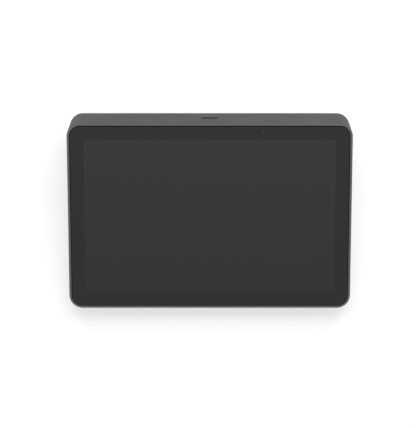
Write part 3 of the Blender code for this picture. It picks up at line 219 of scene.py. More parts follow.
def past_base(nodes, links):
    """For a point on the floor, its distance from the core of the base's rounded outline. On the outline
    itself it is CORNER_RADIUS."""
    core = (BODY_WIDTH / 2 - UNDERCUT - CORNER_RADIUS, KNEE_HALF_Y - UNDERCUT - CORNER_RADIUS, 0.0)
    place = nodes.new("ShaderNodeTexCoord").outputs["Object"]
    for operation, operand in (
        ("SUBTRACT", (0.0, KNEE_MIDDLE_Y, 0.0)),
        ("ABSOLUTE", None),
        ("SUBTRACT", core),
        ("MAXIMUM", (0.0, 0.0, 0.0)),
        ("LENGTH", None),
    ):
        step = nodes.new("ShaderNodeVectorMath")
        step.operation = operation
        links.new(place, step.inputs[0])
        if operand:
            step.inputs[1].default_value = operand
        place = step.outputs["Value" if operation == "LENGTH" else "Vector"]
    return place


def make_floor(albedo, glow):
    """A matte pale table, partly lit from below as a light table is, save for a painted shadow under the
    object.
    """
    bm = bmesh.new()
    bmesh.ops.create_grid(bm, x_segments=1, y_segments=1, size=FLOOR_HALF_WIDTH)
    mesh = bpy.data.meshes.new("floor")
    bm.to_mesh(mesh)
    bm.free()
    made = add_to_scene(bpy.data.objects.new("floor", mesh))
    made.location.z = -FLOOR_GAP
    material = bpy.data.materials.new("floor")
    material.use_nodes = True
    nodes, links = material.node_tree.nodes, material.node_tree.links
    shader = nodes["Principled BSDF"]
    shader.inputs["Base Color"].default_value = (albedo, albedo, albedo, 1.0)
    shader.inputs["Roughness"].default_value = 0.9
    shader.inputs["Specular IOR Level"].default_value = 0.0
    shader.inputs["Emission Color"].default_value = (1.0, 1.0, 1.0, 1.0)
    glow_round_painted_shadow = nodes.new("ShaderNodeMapRange")
    glow_round_painted_shadow.interpolation_type = "SMOOTHSTEP"
    glow_round_painted_shadow.inputs["From Min"].default_value = CORNER_RADIUS + GLOW_STARTS
    glow_round_painted_shadow.inputs["From Max"].default_value = CORNER_RADIUS + GLOW_FULL
    glow_round_painted_shadow.inputs["To Min"].default_value = 0.0
    glow_round_painted_shadow.inputs["To Max"].default_value = glow
    links.new(past_base(nodes, links), glow_round_painted_shadow.inputs["Value"])
    links.new(glow_round_painted_shadow.outputs["Result"], shader.inputs["Emission Strength"])
    mesh.materials.append(material)


bpy.context.scene.view_settings.view_transform = "Standard"
make_camera()
make_floor(albedo=0.38, glow=0.57)
make_world(horizon=0.5, zenith=0.82, tilt=0.1)
make_light("key", place=(0.1, 1.0, 1.4), aim=(0, 0, 0), size=(1.3, 0.7), watts=17.0)
make_light("fill_right", place=(0.32, 0.42, 0.28), aim=(0.1, 0.08, 0), size=(0.2, 0.2), watts=1.25)
make_light("fill_left", place=(-0.32, 0.42, 0.28), aim=(-0.1, 0.08, 0), size=(0.2, 0.2), watts=0.7)

# ---- materials -------------------------------------------------------------------------------------------


class Material:
    """A Principled material, with helpers that add procedural detail in the piece's own coordinates."""

    def __init__(self, name, colour, roughness, metallic=0.0, ior=1.5, specular=0.5):
        self.made = bpy.data.materials.new(name)
        self.made.use_nodes = True
        self.nodes = self.made.node_tree.nodes
        self.links = self.made.node_tree.links
        self.shader = self.nodes["Principled BSDF"]
        self.set("Base Color", (*colour, 1.0))
        self.set("Roughness", roughness)
        self.set("Metallic", metallic)
        self.set("IOR", ior)
        self.set("Specular IOR Level", specular)
        self.coords = self.nodes.new("ShaderNodeTexCoord").outputs["Object"]

    def set(self, socket, value):
        """A constant on one of the shader's own sockets."""
        self.shader.inputs[socket].default_value = value

    def stretched(self, scale):
        """The coordinates scaled by a different amount along each axis."""
        node = self.nodes.new("ShaderNodeMapping")
        node.inputs["Scale"].default_value = scale
        self.links.new(self.coords, node.inputs["Vector"])
        return node.outputs["Vector"]

    def noise(self, size, detail=2.0, vector=None, roughness=0.5):
        """Noise of about that grain size, in metres."""
        node = self.nodes.new("ShaderNodeTexNoise")
        node.inputs["Scale"].default_value = 1.0 / size
        node.inputs["Detail"].default_value = detail
        node.inputs["Roughness"].default_value = roughness
        self.links.new(vector or self.coords, node.inputs["Vector"])
        return node.outputs["Fac"]

    def cells(self, size, vector):
        """Distance to the middle of the nearest cell, for cells of about that size."""
        node = self.nodes.new("ShaderNodeTexVoronoi")
        node.inputs["Scale"].default_value = 1.0 / size
        self.links.new(vector, node.inputs["Vector"])
        return node.outputs["Distance"]

    def attribute(self, name):
        """A value that the mesh holds for each vertex."""
        node = self.nodes.new("ShaderNodeAttribute")
        node.attribute_name = name
        return node.outputs["Fac"]

    def spread(self, value, low, high, from_low=0.0, from_high=1.0):
        """value moved from one range to another, and held inside it."""
        node = self.nodes.new("ShaderNodeMapRange")
        node.inputs["From Min"].default_value = from_low
        node.inputs["From Max"].default_value = from_high
        node.inputs["To Min"].default_value = low
        node.inputs["To Max"].default_value = high
        self.links.new(value, node.inputs["Value"])
        return node.outputs["Result"]

    def mix(self, factor, first, second):
        """One colour or the other. Each is a tuple or a socket."""
        node = self.nodes.new("ShaderNodeMix")
        node.data_type = "RGBA"
        self.links.new(factor, node.inputs["Factor"])
        for socket, colour in zip((node.inputs[6], node.inputs[7]), (first, second)):
            if isinstance(colour, tuple):
                socket.default_value = (*colour, 1.0)
            else:
                self.links.new(colour, socket)
        return node.outputs[2]

    def add(self, *values):
        """The sum of two or more sockets."""
        total = values[0]
        for value in values[1:]:
            node = self.nodes.new("ShaderNodeMath")
            node.operation = "ADD"
            self.links.new(total, node.inputs[0])
            self.links.new(value, node.inputs[1])
            total = node.outputs[0]
        return total

    def colour_from(self, source):
        self.links.new(source, self.shader.inputs["Base Color"])

    def roughness_from(self, source):
        self.links.new(source, self.shader.inputs["Roughness"])

    def bump_from(self, *layers):
        """Each layer is (height source, depth in metres)."""
        below = None
        for source, depth in layers:
            node = self.nodes.new("ShaderNodeBump")
            node.inputs["Strength"].default_value = 1.0
            node.inputs["Distance"].default_value = depth
            self.links.new(source, node.inputs["Height"])
            if below:
                self.links.new(below, node.inputs["Normal"])
            below = node.outputs["Normal"]
        self.links.new(below, self.shader.inputs["Normal"])


def scaled(colour, by, plus=0.0):
    """The colour made darker or lighter."""
    return tuple(c * by + plus for c in colour)


def moulded_plastic(name, colour, roughness, grain=0.35 * MM, depth=0.012 * MM, wear=1.5, specular=0.5):
    """Spark-eroded moulded plastic: a fine grain, faint flow marks, and edges that handling has polished."""
    m = Material(name, colour, roughness, specular=specular)
    worn = m.attribute("wear")
    mottled = m.mix(m.noise(14 * MM, 3.0), scaled(colour, 0.96), scaled(colour, 1.04))
    m.colour_from(m.mix(m.spread(worn, 0.0, 0.6), mottled, scaled(colour, wear)))
    grainy = m.noise(grain, 3.0, roughness=0.6)
    patch = m.noise(30 * MM, 2.0)
    uneven = m.spread(patch, roughness - 0.03, roughness + 0.03, 0.3, 0.7)
    m.roughness_from(m.add(uneven, m.spread(grainy, -0.04, 0.04), m.spread(worn, 0.0, -0.12)))
    m.bump_from((grainy, depth), (m.noise(2.4 * MM, 1.0), depth * 0.3))
    return m.made


def printed_glass(name, colour, roughness, painted_sheen_top=None):
    """Black-printed glass with faint smears and dust. With a top colour, it grades lighter up the screen, a
    painted sheen.
    """
    m = Material(name, colour, roughness, ior=1.46)
    smear = m.noise(1.0, 3.0, m.stretched((26, 60, 60)))
    dust = m.spread(m.noise(1.1 * MM, 2.0), 0.0, 1.0, 0.62, 0.8)
    smeared = m.spread(smear, roughness, roughness + 0.02, 0.4, 0.75)
    m.roughness_from(m.add(smeared, m.spread(dust, 0.0, 0.03)))
    if painted_sheen_top:
        split = m.nodes.new("ShaderNodeSeparateXYZ")
        m.links.new(m.coords, split.inputs[0])
        base = m.mix(m.spread(split.outputs["Y"], 0.0, 1.0, -0.07, 0.07), colour, painted_sheen_top)
    else:
        base = m.mix(smear, scaled(colour, 0.9), scaled(colour, 1.1))
    m.colour_from(m.mix(m.spread(dust, 0.0, 0.35), base, scaled(colour, 1.5, 0.002)))
    m.bump_from((m.noise(60 * MM, 1.0), 0.005 * MM))
    return m.made


def rubber(name, colour):
    """Matt rubber, paler where dust has settled."""
    m = Material(name, colour, 0.8)
    dusty = m.spread(m.noise(6 * MM, 4.0), 0.0, 1.0, 0.5, 0.75)
    m.colour_from(m.mix(dusty, colour, scaled(colour, 1.7, 0.01)))
    m.roughness_from(m.spread(dusty, 0.72, 0.9))
    m.bump_from((m.noise(0.25 * MM, 2.0), 0.03 * MM))
    return m.made


def worked_metal(name, colour, roughness):
    """Brushed or rolled metal: streaks along X, with light staining and bright edges."""
    m = Material(name, colour, roughness, metallic=1.0)
    streak = m.noise(1.2 * MM, 4.0, m.stretched((1, 14, 14)))
    stained = tuple(c * s for c, s in zip(colour, (0.85, 0.84, 0.82)))
    blotched = m.mix(m.noise(9 * MM, 3.0), stained, colour)
    worn = m.attribute("wear")
    bright = tuple(min(1.0, c) for c in scaled(colour, 1.25))
    m.colour_from(m.mix(m.spread(worn, 0.0, 0.5), blotched, bright))
    m.roughness_from(m.add(m.spread(streak, roughness - 0.08, roughness + 0.12), m.spread(worn, 0.0, -0.08)))
    m.bump_from((streak, 0.01 * MM))
    return m.made


def circuit_board(name, colour):
    """Solder mask over copper tracks, which show as paler raised lines."""
    m = Material(name, colour, 0.42)
    track = m.cells(3.2 * MM, m.stretched((1, 1, 0.02)))
    lines = m.spread(track, 1.0, 0.0, 0.30, 0.36)
    m.colour_from(m.mix(lines, colour, scaled(colour, 1.9)))
    m.roughness_from(m.spread(m.noise(5 * MM, 3.0), 0.34, 0.5))
    m.bump_from((lines, 0.02 * MM), (m.noise(0.3 * MM, 2.0), 0.005 * MM))
    return m.made


def film(name, colour):
    """Flat flex: amber film over fine copper lines."""
    m = Material(name, colour, 0.35)
    wave = m.nodes.new("ShaderNodeTexWave")
    wave.inputs["Scale"].default_value = 300.0
    m.links.new(m.coords, wave.inputs["Vector"])
    lines = wave.outputs["Fac"]
    m.colour_from(m.mix(lines, colour, scaled(colour, 0.6)))
    m.roughness_from(m.spread(m.noise(3 * MM), 0.28, 0.45))
    m.bump_from((lines, 0.01 * MM))
    return m.made


PLASTIC = moulded_plastic("graphite_plastic", (0.0325, 0.0325, 0.0328), 0.5, specular=0.08)
# A lighter copy of the housing plastic on the flat rim: a painted highlight along the rim's edge.
RIM_HIGHLIGHT = moulded_plastic("rim_painted_highlight", (0.09, 0.09, 0.0908), 0.42, depth=0.006 * MM, specular=0.15)
# Near black with no gloss, in the gap round the glass and on the glass's side and edge: painted shade of the
# shadow gap.
GAP_SHADE = moulded_plastic("gap_painted_shade", (0.003, 0.003, 0.003), 0.9, specular=0.0)
DARK_PLASTIC = moulded_plastic("base_plastic", (0.04, 0.04, 0.0405), 0.55)
CHIP_BLACK = moulded_plastic("chip_black", (0.02, 0.02, 0.022), 0.55, 0.2 * MM, 0.01 * MM)
WHITE_PLASTIC = moulded_plastic("light_guide", (0.8, 0.8, 0.8), 0.4, wear=1.1)
BORDER_GLASS = printed_glass("glass_border", (0.0062, 0.0062, 0.0064), 0.06)
# The active area and its fine line grow lighter up the screen: a painted sheen.
ACTIVE_GLASS = printed_glass("glass_active", (0.0098, 0.0098, 0.0101), 0.1, (0.0142, 0.0142, 0.0145))
LINE_GLASS = printed_glass("glass_line", (0.0118, 0.0118, 0.0121), 0.1, (0.0175, 0.0175, 0.0179))
PLAIN_GLASS = printed_glass("plain_glass", (0.012, 0.012, 0.012), 0.12)
LENS = printed_glass("smoked_lens", (0.021, 0.021, 0.022), 0.1)
IRIS = printed_glass("lens_iris", (0.017, 0.017, 0.0187), 0.08)
BADGE = moulded_plastic("badge_satin", (0.007, 0.007, 0.0072), 0.5, 0.5 * MM, 0.002 * MM, specular=0.03)
RUBBER = rubber("black_rubber", (0.02, 0.02, 0.02))
STEEL = worked_metal("steel", (0.52, 0.52, 0.52), 0.32)
ALUMINIUM = worked_metal("aluminium", (0.7, 0.7, 0.72), 0.4)
BRASS = worked_metal("brass", (0.76, 0.55, 0.24), 0.3)
BOARD = circuit_board("board_green", (0.015, 0.075, 0.04))
FLEX = film("flex_amber", (0.42, 0.19, 0.04))

SLOT_MATERIALS = {
    "graphite_plastic": DARK_PLASTIC,
    "black_glass": PLAIN_GLASS,
    "smoked_lens": LENS,
    "black_rubber": RUBBER,
    "chip_black": CHIP_BLACK,
    "light_guide": WHITE_PLASTIC,
    "steel": STEEL,
    "aluminium": ALUMINIUM,
    "board_green": BOARD,
    "flex_amber": FLEX,
    "brass": BRASS,
}

# ---- mesh helpers ----------------------------------------------------------------------------------------

LEAST_RADIUS = 0.01 * MM


def outline(half_x, half_y, radius, corner_steps=14, middle_y=0.0):
    """Points round a rectangle with round corners, counter-clockwise from the lower right corner. Outlines
    with the same corner_steps have the same number of points in the same order, so any two can be joined."""
    radius = max(radius, LEAST_RADIUS)
    points = []
    for i, (side_x, side_y) in enumerate(((1, -1), (1, 1), (-1, 1), (-1, -1))):
        centre = Vector((side_x * (half_x - radius), middle_y + side_y * (half_y - radius)))
        for step in range(corner_steps + 1):
            angle = math.radians(90 * (i - 1) + 90 * step / corner_steps)
            points.append(centre + radius * Vector((math.cos(angle), math.sin(angle))))
    return points


def at_height(flat, z, x=0.0):
    """The flat points at height z, moved along X."""
    return [Vector((x + p.x, p.y, z)) for p in flat]


def in_mm(points):
    """Points written in millimetres, in metres."""
    return [tuple(value * MM for value in point) for point in points]


def quarter_round(radius, steps):
    """(inset, depth) from the side of an edge of that radius, at full depth, up to its top."""
    angles = (math.pi / 2 * k / steps for k in range(steps + 1))
    return [(radius * (1 - math.cos(a)), radius * (1 - math.sin(a))) for a in angles]


def loft(bm, rings, closed=False, caps=False, materials=None):
    """Quads between each ring and the next, then back to the first if closed. caps fills the first and the
    last ring. materials holds a material index for each band of quads."""
    made = [[bm.verts.new(p) for p in ring] for ring in rings]
    pairs = list(zip(made, made[1:])) + ([(made[-1], made[0])] if closed else [])
    for k, (a, b) in enumerate(pairs):
        for i in range(len(a)):
            j = (i + 1) % len(a)
            face = bm.faces.new((a[i], a[j], b[j], b[i]))
            if materials:
                face.material_index = materials[k]
    if caps:
        bm.faces.new(made[0][::-1])
        bm.faces.new(made[-1])


def finish_mesh(name, bm, *materials):
    """Makes the object, with outward normals, its materials and smooth shading."""
    bmesh.ops.remove_doubles(bm, verts=bm.verts, dist=0.0005 * MM)
    made = object_from(name, bm)
    for material in materials:
        made.data.materials.append(material)
    shade(made)
    return made


def object_from(name, bm):
    """An object of the bmesh, with its faces turned outwards."""
    bmesh.ops.recalc_face_normals(bm, faces=bm.faces)
    mesh = bpy.data.meshes.new(name)
    bm.to_mesh(mesh)
    bm.free()
    return add_to_scene(bpy.data.objects.new(name, mesh))


def shade(piece):
    """Smooth shading that breaks at sharp edges."""
    break_at(piece, 35.0)
    weigh_normals(piece)


def break_at(piece, degrees):
    """Smooth shading, except at edges sharper than that."""
    piece.data.shade_smooth()
    piece.data.set_sharp_from_angle(angle=math.radians(degrees))


def weigh_normals(piece):
    """Keeps wide faces flat beside rounded edges."""
    weighted = piece.modifiers.new("weighted", "WEIGHTED_NORMAL")
    weighted.keep_sharp = True


def add_wear(piece, narrow=0.6 * MM, start=0.08, full=0.45):
    """The wear attribute that the materials read, from 0 to 1 on each vertex: how sharply the surface turns
    outwards there. It is 0 on a vertex of any wide face, so that it stays on the edges."""
    mesh = piece.data
    bm = bmesh.new()
    bm.from_mesh(mesh)
    width = {f: f.calc_area() / max(e.calc_length() for e in f.edges) for f in bm.faces}
    values = []
    for vert in bm.verts:
        turn = max((e.calc_face_angle_signed(0.0) for e in vert.link_edges), default=0.0)
        wide = max((width[f] for f in vert.link_faces), default=1.0) > narrow
        worn = min(1.0, max(0.0, (turn - start) / (full - start)))
        values.append(0.0 if wide else worn)
    bm.free()
    layer = mesh.attributes.get("wear") or mesh.attributes.new("wear", "FLOAT", "POINT")
    layer.data.foreach_set("value", values)


def cutter(name, bm):
    """An object for carve() to cut with."""
    made = object_from(name, bm)
    made.hide_render = True
    return made


def carve(piece, *tools):
    """Cuts the tools from the piece for good, and removes them."""
    for tool in tools:
        modifier = piece.modifiers.new(tool.name, "BOOLEAN")
        modifier.object = tool
        modifier.operation = "DIFFERENCE"
    bake_modifiers(piece)
    for tool in tools:
        bpy.data.objects.remove(tool)


def bake_modifiers(piece):
    """Makes what the modifiers do a part of the mesh."""
    graph = bpy.context.evaluated_depsgraph_get()
    graph.update()
    mesh = bpy.data.meshes.new_from_object(piece.evaluated_get(graph), depsgraph=graph)
    piece.modifiers.clear()
    piece.data = mesh


def soften(piece, width):
    """Rounds the sharp edges of a finished mesh."""
    bevel = piece.modifiers.new("softened", "BEVEL")
    bevel.width = width
    bevel.segments = 2
    bevel.limit_method = "ANGLE"
    bevel.angle_limit = math.radians(38.0)
    bevel.use_clamp_overlap = True
    bevel.miter_outer = "MITER_ARC"


def cut_to_shape(piece, width, *tools):
    """Cuts the tools from the piece and rounds the edges to that width, all as a part of the mesh."""
    piece.modifiers.clear()
    carve(piece, *tools)
    soften(piece, width)
    bake_modifiers(piece)


def stand_for(piece, body, node):
    """The piece rides on the body and stands for the CAD node, which is hidden."""
    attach(piece, body)
    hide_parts(node)


def on_screen(u, v, depth):
    """A world point from a place on the face and a depth below it."""
    return SCREEN @ Vector((u, v, -depth))


# ---- housing ---------------------------------------------------------------------------------------------


def bend(a, control, b, steps):
    """Points from a to b round a control point."""
    out = []
    for k in range(steps + 1):
        t = k / steps
        out.append(a * (1 - t) ** 2 + control * 2 * t * (1 - t) + b * t * t)
    return out


def face_ring(inset, depth):
    """Round the face, that far in from its outline and that deep below it."""
    flat = outline(BODY_WIDTH / 2 - inset, FACE_LENGTH / 2 - inset, CORNER_RADIUS - inset)
    return [on_screen(p.x, p.y, depth) for p in flat]


def base_ring(inset, z):
    """Round the base, that far in from the knee's outline."""
    radius = CORNER_RADIUS - max(0, inset - UNDERCUT)
    flat = outline(BODY_WIDTH / 2 - inset, KNEE_HALF_Y - inset, radius, middle_y=KNEE_MIDDLE_Y)
    return at_height(flat, z)


def rim_rings():
    """From the ledge under the glass, up the inner side of the rim, across it and round its fillet."""
    rings = [
        face_ring(WALL + LEDGE_WIDTH, LEDGE_DEPTH),
        face_ring(WALL, LEDGE_DEPTH),
        face_ring(WALL, LIP_CHAMFER),
        face_ring(WALL - 0.3 * LIP_CHAMFER, 0.3 * LIP_CHAMFER),
        face_ring(WALL - LIP_CHAMFER, 0.0),
    ]
    return rings + [face_ring(inset, depth) for depth, inset in quarter_round(RIM_FILLET, RIM_STEPS)]


def outer_wall(wall_top, down, knee, base, hole_low, hole_high):
    """Down to the knee, in along the undercut to the underside, and up at the base cover's hole."""
    slope = (base - knee).normalized()
    inward = (hole_low - base).normalized()
    reach = min(KNEE_FILLET, (wall_top - knee).length * 0.8)
    points = bend(knee - down * reach, knee, knee + slope * reach, 6)
    points += bend(base - slope * FOOT_FILLET, base, base + inward * FOOT_FILLET, 4)
    return points + [hole_low - inward * COVER_CHAMFER, hole_low + Vector((0, 0, COVER_CHAMFER)), hole_high]


def inner_wall(ledge, down, knee, base, hole_high):
    """From the base cover's hole up to the ledge. Where the ledge is low, it stays a wall's thickness inside
    the undercut."""
    if ledge.z > KNEE_HEIGHT + 0.5 * MM:
        return [down_to_knee(ledge, down), ledge]
    level = base + (knee - base) * ((ledge.z - base.z) / (knee.z - base.z))
    top = level + (hole_high - level).normalized() * WALL
    top.z = level.z
    return [hole_high.lerp(top, 0.6), top]


def down_to_knee(point, down):
    """Where the line down the wall from that point meets the knee."""
    return point + down * ((point.z - KNEE_HEIGHT) / -down.z)


def housing_rings():
    """Rings that give the shell's section at each point round the outline: down the outside, then back up the
    inside."""
    down = (SCREEN.to_3x3() @ Vector((0, 0, -1))).normalized()
    rims = rim_rings()
    bases = base_ring(UNDERCUT, BASE_HEIGHT)
    holes_low = base_ring(UNDERCUT + BASE_RIM, BASE_HEIGHT)
    holes_high = base_ring(UNDERCUT + BASE_RIM, BASE_TOP + FIT_GAP)
    ledges_out = face_ring(WALL, LEDGE_BOTTOM)
    ledges_in = face_ring(WALL + LEDGE_WIDTH, LEDGE_BOTTOM)
    columns = []
    for i, base in enumerate(bases):
        column = [ring[i] for ring in rims]
        knee = down_to_knee(column[-1], down)
        column += outer_wall(column[-1], down, knee, base, holes_low[i], holes_high[i])
        column += inner_wall(ledges_out[i], down, knee, base, holes_high[i])
        columns.append(column + [ledges_in[i]])
    return [list(ring) for ring in zip(*columns)]


def round_cutter(name, centre, radius, length, turn, sides=48):
    """A cylinder to cut with, along Z before the turn."""
    bm = bmesh.new()
    bmesh.ops.create_cone(
        bm,
        cap_ends=True,
        segments=sides,
        radius1=radius,
        radius2=radius,
        depth=length,
        matrix=Matrix.Translation(centre) @ turn,
    )
    return cutter(name, bm)


ALONG_X = Matrix.Rotation(math.pi / 2, 4, "Y")
ALONG_Y = Matrix.Rotation(math.pi / 2, 4, "X")
ALONG_Z = Matrix.Identity(4)


def rear_wall_rings(half_x, half_z, levels, corner_steps):
    """Round-ended outlines where the badge sits, one for each (inset, y in the screen's axes)."""
    rings = []
    for inset, y in levels:
        flat = outline(half_x - inset, half_z - inset, (half_z - inset) * STADIUM, corner_steps)
        rings.append([SCREEN @ Vector((p.x, y, p.y - BADGE_DROP)) for p in flat])
    return rings


def badge_seat():
    """The recess in the rear wall that the badge sits in."""
    rear = FACE_LENGTH / 2
    half_x, half_z = BADGE_SIZE[0] / 2 + SEAT_GAP, BADGE_SIZE[1] / 2 + SEAT_GAP
    bm = bmesh.new()
    loft(bm, rear_wall_rings(half_x, half_z, [(0, rear - SEAT_DEPTH), (0, rear + 2 * MM)], 8), caps=True)
    return cutter("seat", bm)


def lock_slot():
    """The security slot, through the wall, with a flare at its mouth."""
    wall, flare = BODY_WIDTH / 2, 0.3 * MM
    rings = []
    for x, grow in ((wall - 6 * MM, 0.0), (wall - 0.4 * MM, 0.0), (wall, flare), (wall + 2 * MM, flare)):
        flat = outline(LOCK_SIZE[0] / 2 + grow, LOCK_SIZE[1] / 2 + grow, 1.2 * MM + grow, 8)
        rings.append([Vector((x, LOCK_Y + p.x, LOCK_Z + p.y)) for p in flat])
    bm = bmesh.new()
    loft(bm, rings, caps=True)
    return cutter("lock", bm)


def housing():
    """The shell: lofted round its outline, then the arch, jack hole, security slot and badge seat are cut."""
    rings = housing_rings()
    plastic, rim_highlight, gap_shade = range(3)  # the order of the piece's materials
    # The flat rim's bands take the lighter plastic, a painted highlight.
    kinds = [gap_shade] * GAP_RINGS + [rim_highlight] * RIM_RINGS + [plastic] * (len(rings) - GAP_RINGS - RIM_RINGS)
    bm = bmesh.new()
    loft(bm, rings, closed=True, materials=kinds)
    # The gap bands take the near-black material, painted shade in the gap round the glass.
    piece = finish_mesh("housing_shell", bm, PLASTIC, RIM_HIGHLIGHT, GAP_SHADE)
    cut_to_shape(
        piece,
        HOUSING_BEVEL,
        round_cutter("arch", (0, KNEE_REAR_Y, ARCH_CENTRE_Z), ARCH_RADIUS, 40 * MM, ALONG_Y, 96),
        round_cutter("jack", JACK_PLACE, JACK_HOLE_RADIUS, 10 * MM, ALONG_X),
        lock_slot(),
        badge_seat(),
    )
    add_wear(piece)
    shade(piece)
    stand_for(piece, "display", "upper_housing")


# ---- glass, lens and badge -------------------------------------------------------------------------------


def glass_ring(half_x, half_y, radius, depth=0.0, middle_y=0.0):
    """That deep below the glass's face, in the screen's axes."""
    return at_height(outline(half_x, half_y, radius, middle_y=middle_y), -depth)


def glass_rings():
    """From the underside up the side, round the edge, and across the face to the inside of the fine line."""
    half_x, half_y = GLASS_WIDTH / 2, GLASS_LENGTH / 2
    active_x, active_y = ACTIVE_WIDTH / 2, ACTIVE_LENGTH / 2
    rings = [glass_ring(half_x, half_y, GLASS_RADIUS, GLASS_THICKNESS)]
    for inset, depth in quarter_round(GLASS_EDGE, 5):
        rings.append(glass_ring(half_x - inset, half_y - inset, GLASS_RADIUS - inset, depth))
    # A thin dark band just inside the glass's rounded edge: painted shade that widens the shadow gap.
    dark = GLASS_EDGE + 0.05 * MM
    rings.append(glass_ring(half_x - dark, half_y - dark, GLASS_RADIUS - dark))
    rings.append(glass_ring(active_x, active_y, 0.8 * MM, middle_y=ACTIVE_OFFSET))
    active_x -= ACTIVE_LINE
    active_y -= ACTIVE_LINE
    rings.append(glass_ring(active_x, active_y, 0.3 * MM, middle_y=ACTIVE_OFFSET))
    return rings


def front_glass():
    """Modelled in the screen's axes, with its side and edge in painted shade, the shadow gap round the glass.
    The printed border, the fine line and the active area are on its face."""
    border, line, active, side = range(4)  # the order of the piece's materials
    rings = glass_rings()
    bm = bmesh.new()
    loft(bm, rings, caps=True, materials=[side] * (len(rings) - 3) + [border, line])
    for face in bm.faces:
        at_top = all(abs(vert.co.z) < 1e-7 for vert in face.verts)
        if at_top and len(face.verts) > 4:  # the cap inside the fine line
            face.material_index = active
    piece = finish_mesh("front_glass", bm, BORDER_GLASS, LINE_GLASS, ACTIVE_GLASS, GAP_SHADE)
    piece.modifiers.clear()
    carve(piece, round_cutter("lens_hole", (LENS_X, LENS_Y, 0), LENS_RADIUS + LENS_GAP, 8 * MM, ALONG_Z))
    add_wear(piece)
    shade(piece)
    piece.matrix_world = SCREEN
    stand_for(piece, "display", "cover_glass")


def turned(name, profile, *materials, sides=48, kinds=None):
    """A profile of (radius, height) points turned about Z. Points at radius 0 close it. kinds holds a
    material index for each band."""
    bm = bmesh.new()
    angles = [2 * math.pi * i / sides for i in range(sides)]
    rings = []
    for radius, z in profile:
        if radius < 1e-9:
            rings.append([bm.verts.new((0, 0, z))])
        else:
            rings.append([bm.verts.new((radius * math.cos(a), radius * math.sin(a), z)) for a in angles])
    for k, (a, b) in enumerate(zip(rings, rings[1:])):
        for i in range(sides):
            j = (i + 1) % sides
            loop = [a[i % len(a)], a[j % len(a)], b[j % len(b)], b[i % len(b)]]
            face = bm.faces.new(list(dict.fromkeys(loop)))
            if kinds:
                face.material_index = kinds[k]
    return finish_mesh(name, bm, *materials)


def sensor_lens():
    """A smoked window, with an iris that is slightly domed inside a fine groove."""
    r = LENS_RADIUS
    side = [(0, -1.7 * MM), (r, -1.7 * MM), (r, -0.12 * MM)]
    side += [(r - 0.05 * MM, -0.03 * MM), (r - 0.16 * MM, 0.0)]
    iris = in_mm([(1.2, 0.0), (1.12, -0.05), (0.8, 0.0), (0.5, 0.05), (0.25, 0.07), (0, 0.075)])
    piece = turned("sensor_window", side + iris, LENS, IRIS, kinds=[0] * len(side) + [1] * (len(iris) - 1))
    add_wear(piece)
    piece.matrix_world = SCREEN @ Matrix.Translation((LENS_X, LENS_Y, 0))
    stand_for(piece, "display", "presence_sensor_lens")


def rear_badge():
    """A blank lozenge with a rounded edge and a shallow dished face."""
    section = [(0.0, -0.8), (0.0, -0.12), (0.06, 0.02), (0.2, 0.1), (0.75, 0.1), (0.95, 0.02), (1.5, 0.0)]
    levels = [(inset, FACE_LENGTH / 2 + out) for inset, out in in_mm(section)]
    bm = bmesh.new()
    loft(bm, rear_wall_rings(BADGE_SIZE[0] / 2, BADGE_SIZE[1] / 2, levels, 12), caps=True)
    piece = finish_mesh("rear_lozenge", bm, BADGE)
    add_wear(piece)
    stand_for(piece, "display", "rear_badge")


# ---- feet, jack and screws -------------------------------------------------------------------------------


def pad(bm, half_x, half_y, radius, levels, corner_steps, middle_x, middle_y):
    """A solid with round corners through the levels, each (inset, z)."""
    rings = []
    for inset, z in levels:
        flat = outline(half_x - inset, half_y - inset, radius - inset, corner_steps, middle_y)
        rings.append(at_height(flat, z, middle_x))
    loft(bm, rings, caps=True)


def feet():
    """Rubber feet with round ends, and a rounded edge where they meet the table."""
    for name in ("foot_front_left", "foot_front_right", "foot_rear_left", "foot_rear_right"):
        low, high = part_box(name)
        half, middle = (high - low) / 2, (high + low) / 2
        levels = in_mm([(1.2, 0.0), (0.35, 0.0), (0.1, 0.1), (0.0, 0.35)]) + [(0.0, half.z * 2)]
        bm = bmesh.new()
        pad(bm, half.x, half.y, half.y * STADIUM, levels, 10, middle.x, middle.y)
        piece = finish_mesh(name + "_pad", bm, RUBBER)
        add_wear(piece)
        stand_for(piece, "display", name)


def jack_ring():
    """The socket's ring and barrel, its mouth towards +X."""
    low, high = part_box("audio_jack")
    middle = (low + high) / 2
    length = high.x - low.x
    bore_end = -length + 1.5 * MM
    ring = in_mm([(1.3, -0.25), (1.45, -0.04), (1.6, 0.0), (1.74, -0.05), (1.8, -0.2)])
    barrel = in_mm([(1.8, -4.0), (3.0, -4.0)]) + [(3.0 * MM, -length), (0, -length)]
    profile = [(0, bore_end), (1.3 * MM, bore_end)] + ring + barrel
    kinds = [0] * 2 + [1] * (len(ring) - 1) + [0] * len(barrel)
    piece = turned("jack_socket", profile, CHIP_BLACK, STEEL, kinds=kinds)
    add_wear(piece)
    piece.matrix_world = Matrix.Translation((high.x, middle.y, middle.z)) @ ALONG_X
    stand_for(piece, "display", "audio_jack")


def thread(radius, top, bottom):
    """Crests and roots down a turned profile."""
    points = []
    z = top
    root = radius - THREAD_DEPTH
    while z - THREAD_PITCH > bottom:
        points += [(radius, z), (radius, z - 0.1 * THREAD_PITCH)]
        points += [(root, z - 0.5 * THREAD_PITCH), (root, z - 0.6 * THREAD_PITCH)]
        z -= THREAD_PITCH
    return points


def turned_over(low, high):
    """Turns a piece over, with its origin in the middle of the box's underside."""
    place = ((low.x + high.x) / 2, (low.y + high.y) / 2, low.z)
    return Matrix.Translation(place) @ Matrix.Rotation(math.pi, 4, "X")


def cross_recess():
    """Two crossed blades that taper downwards."""
    blades = []
    for size in in_mm([(2.6, 0.55, 1.8), (0.55, 2.6, 1.8)]):
        bm = bmesh.new()
        bmesh.ops.create_cube(bm, size=1.0, matrix=Matrix.Diagonal((*size, 1.0)))
        for vert in bm.verts:
            if vert.co.z < 0:
                vert.co.x *= 0.6
                vert.co.y *= 0.8
        blades.append(cutter("blade", bm))
    return blades


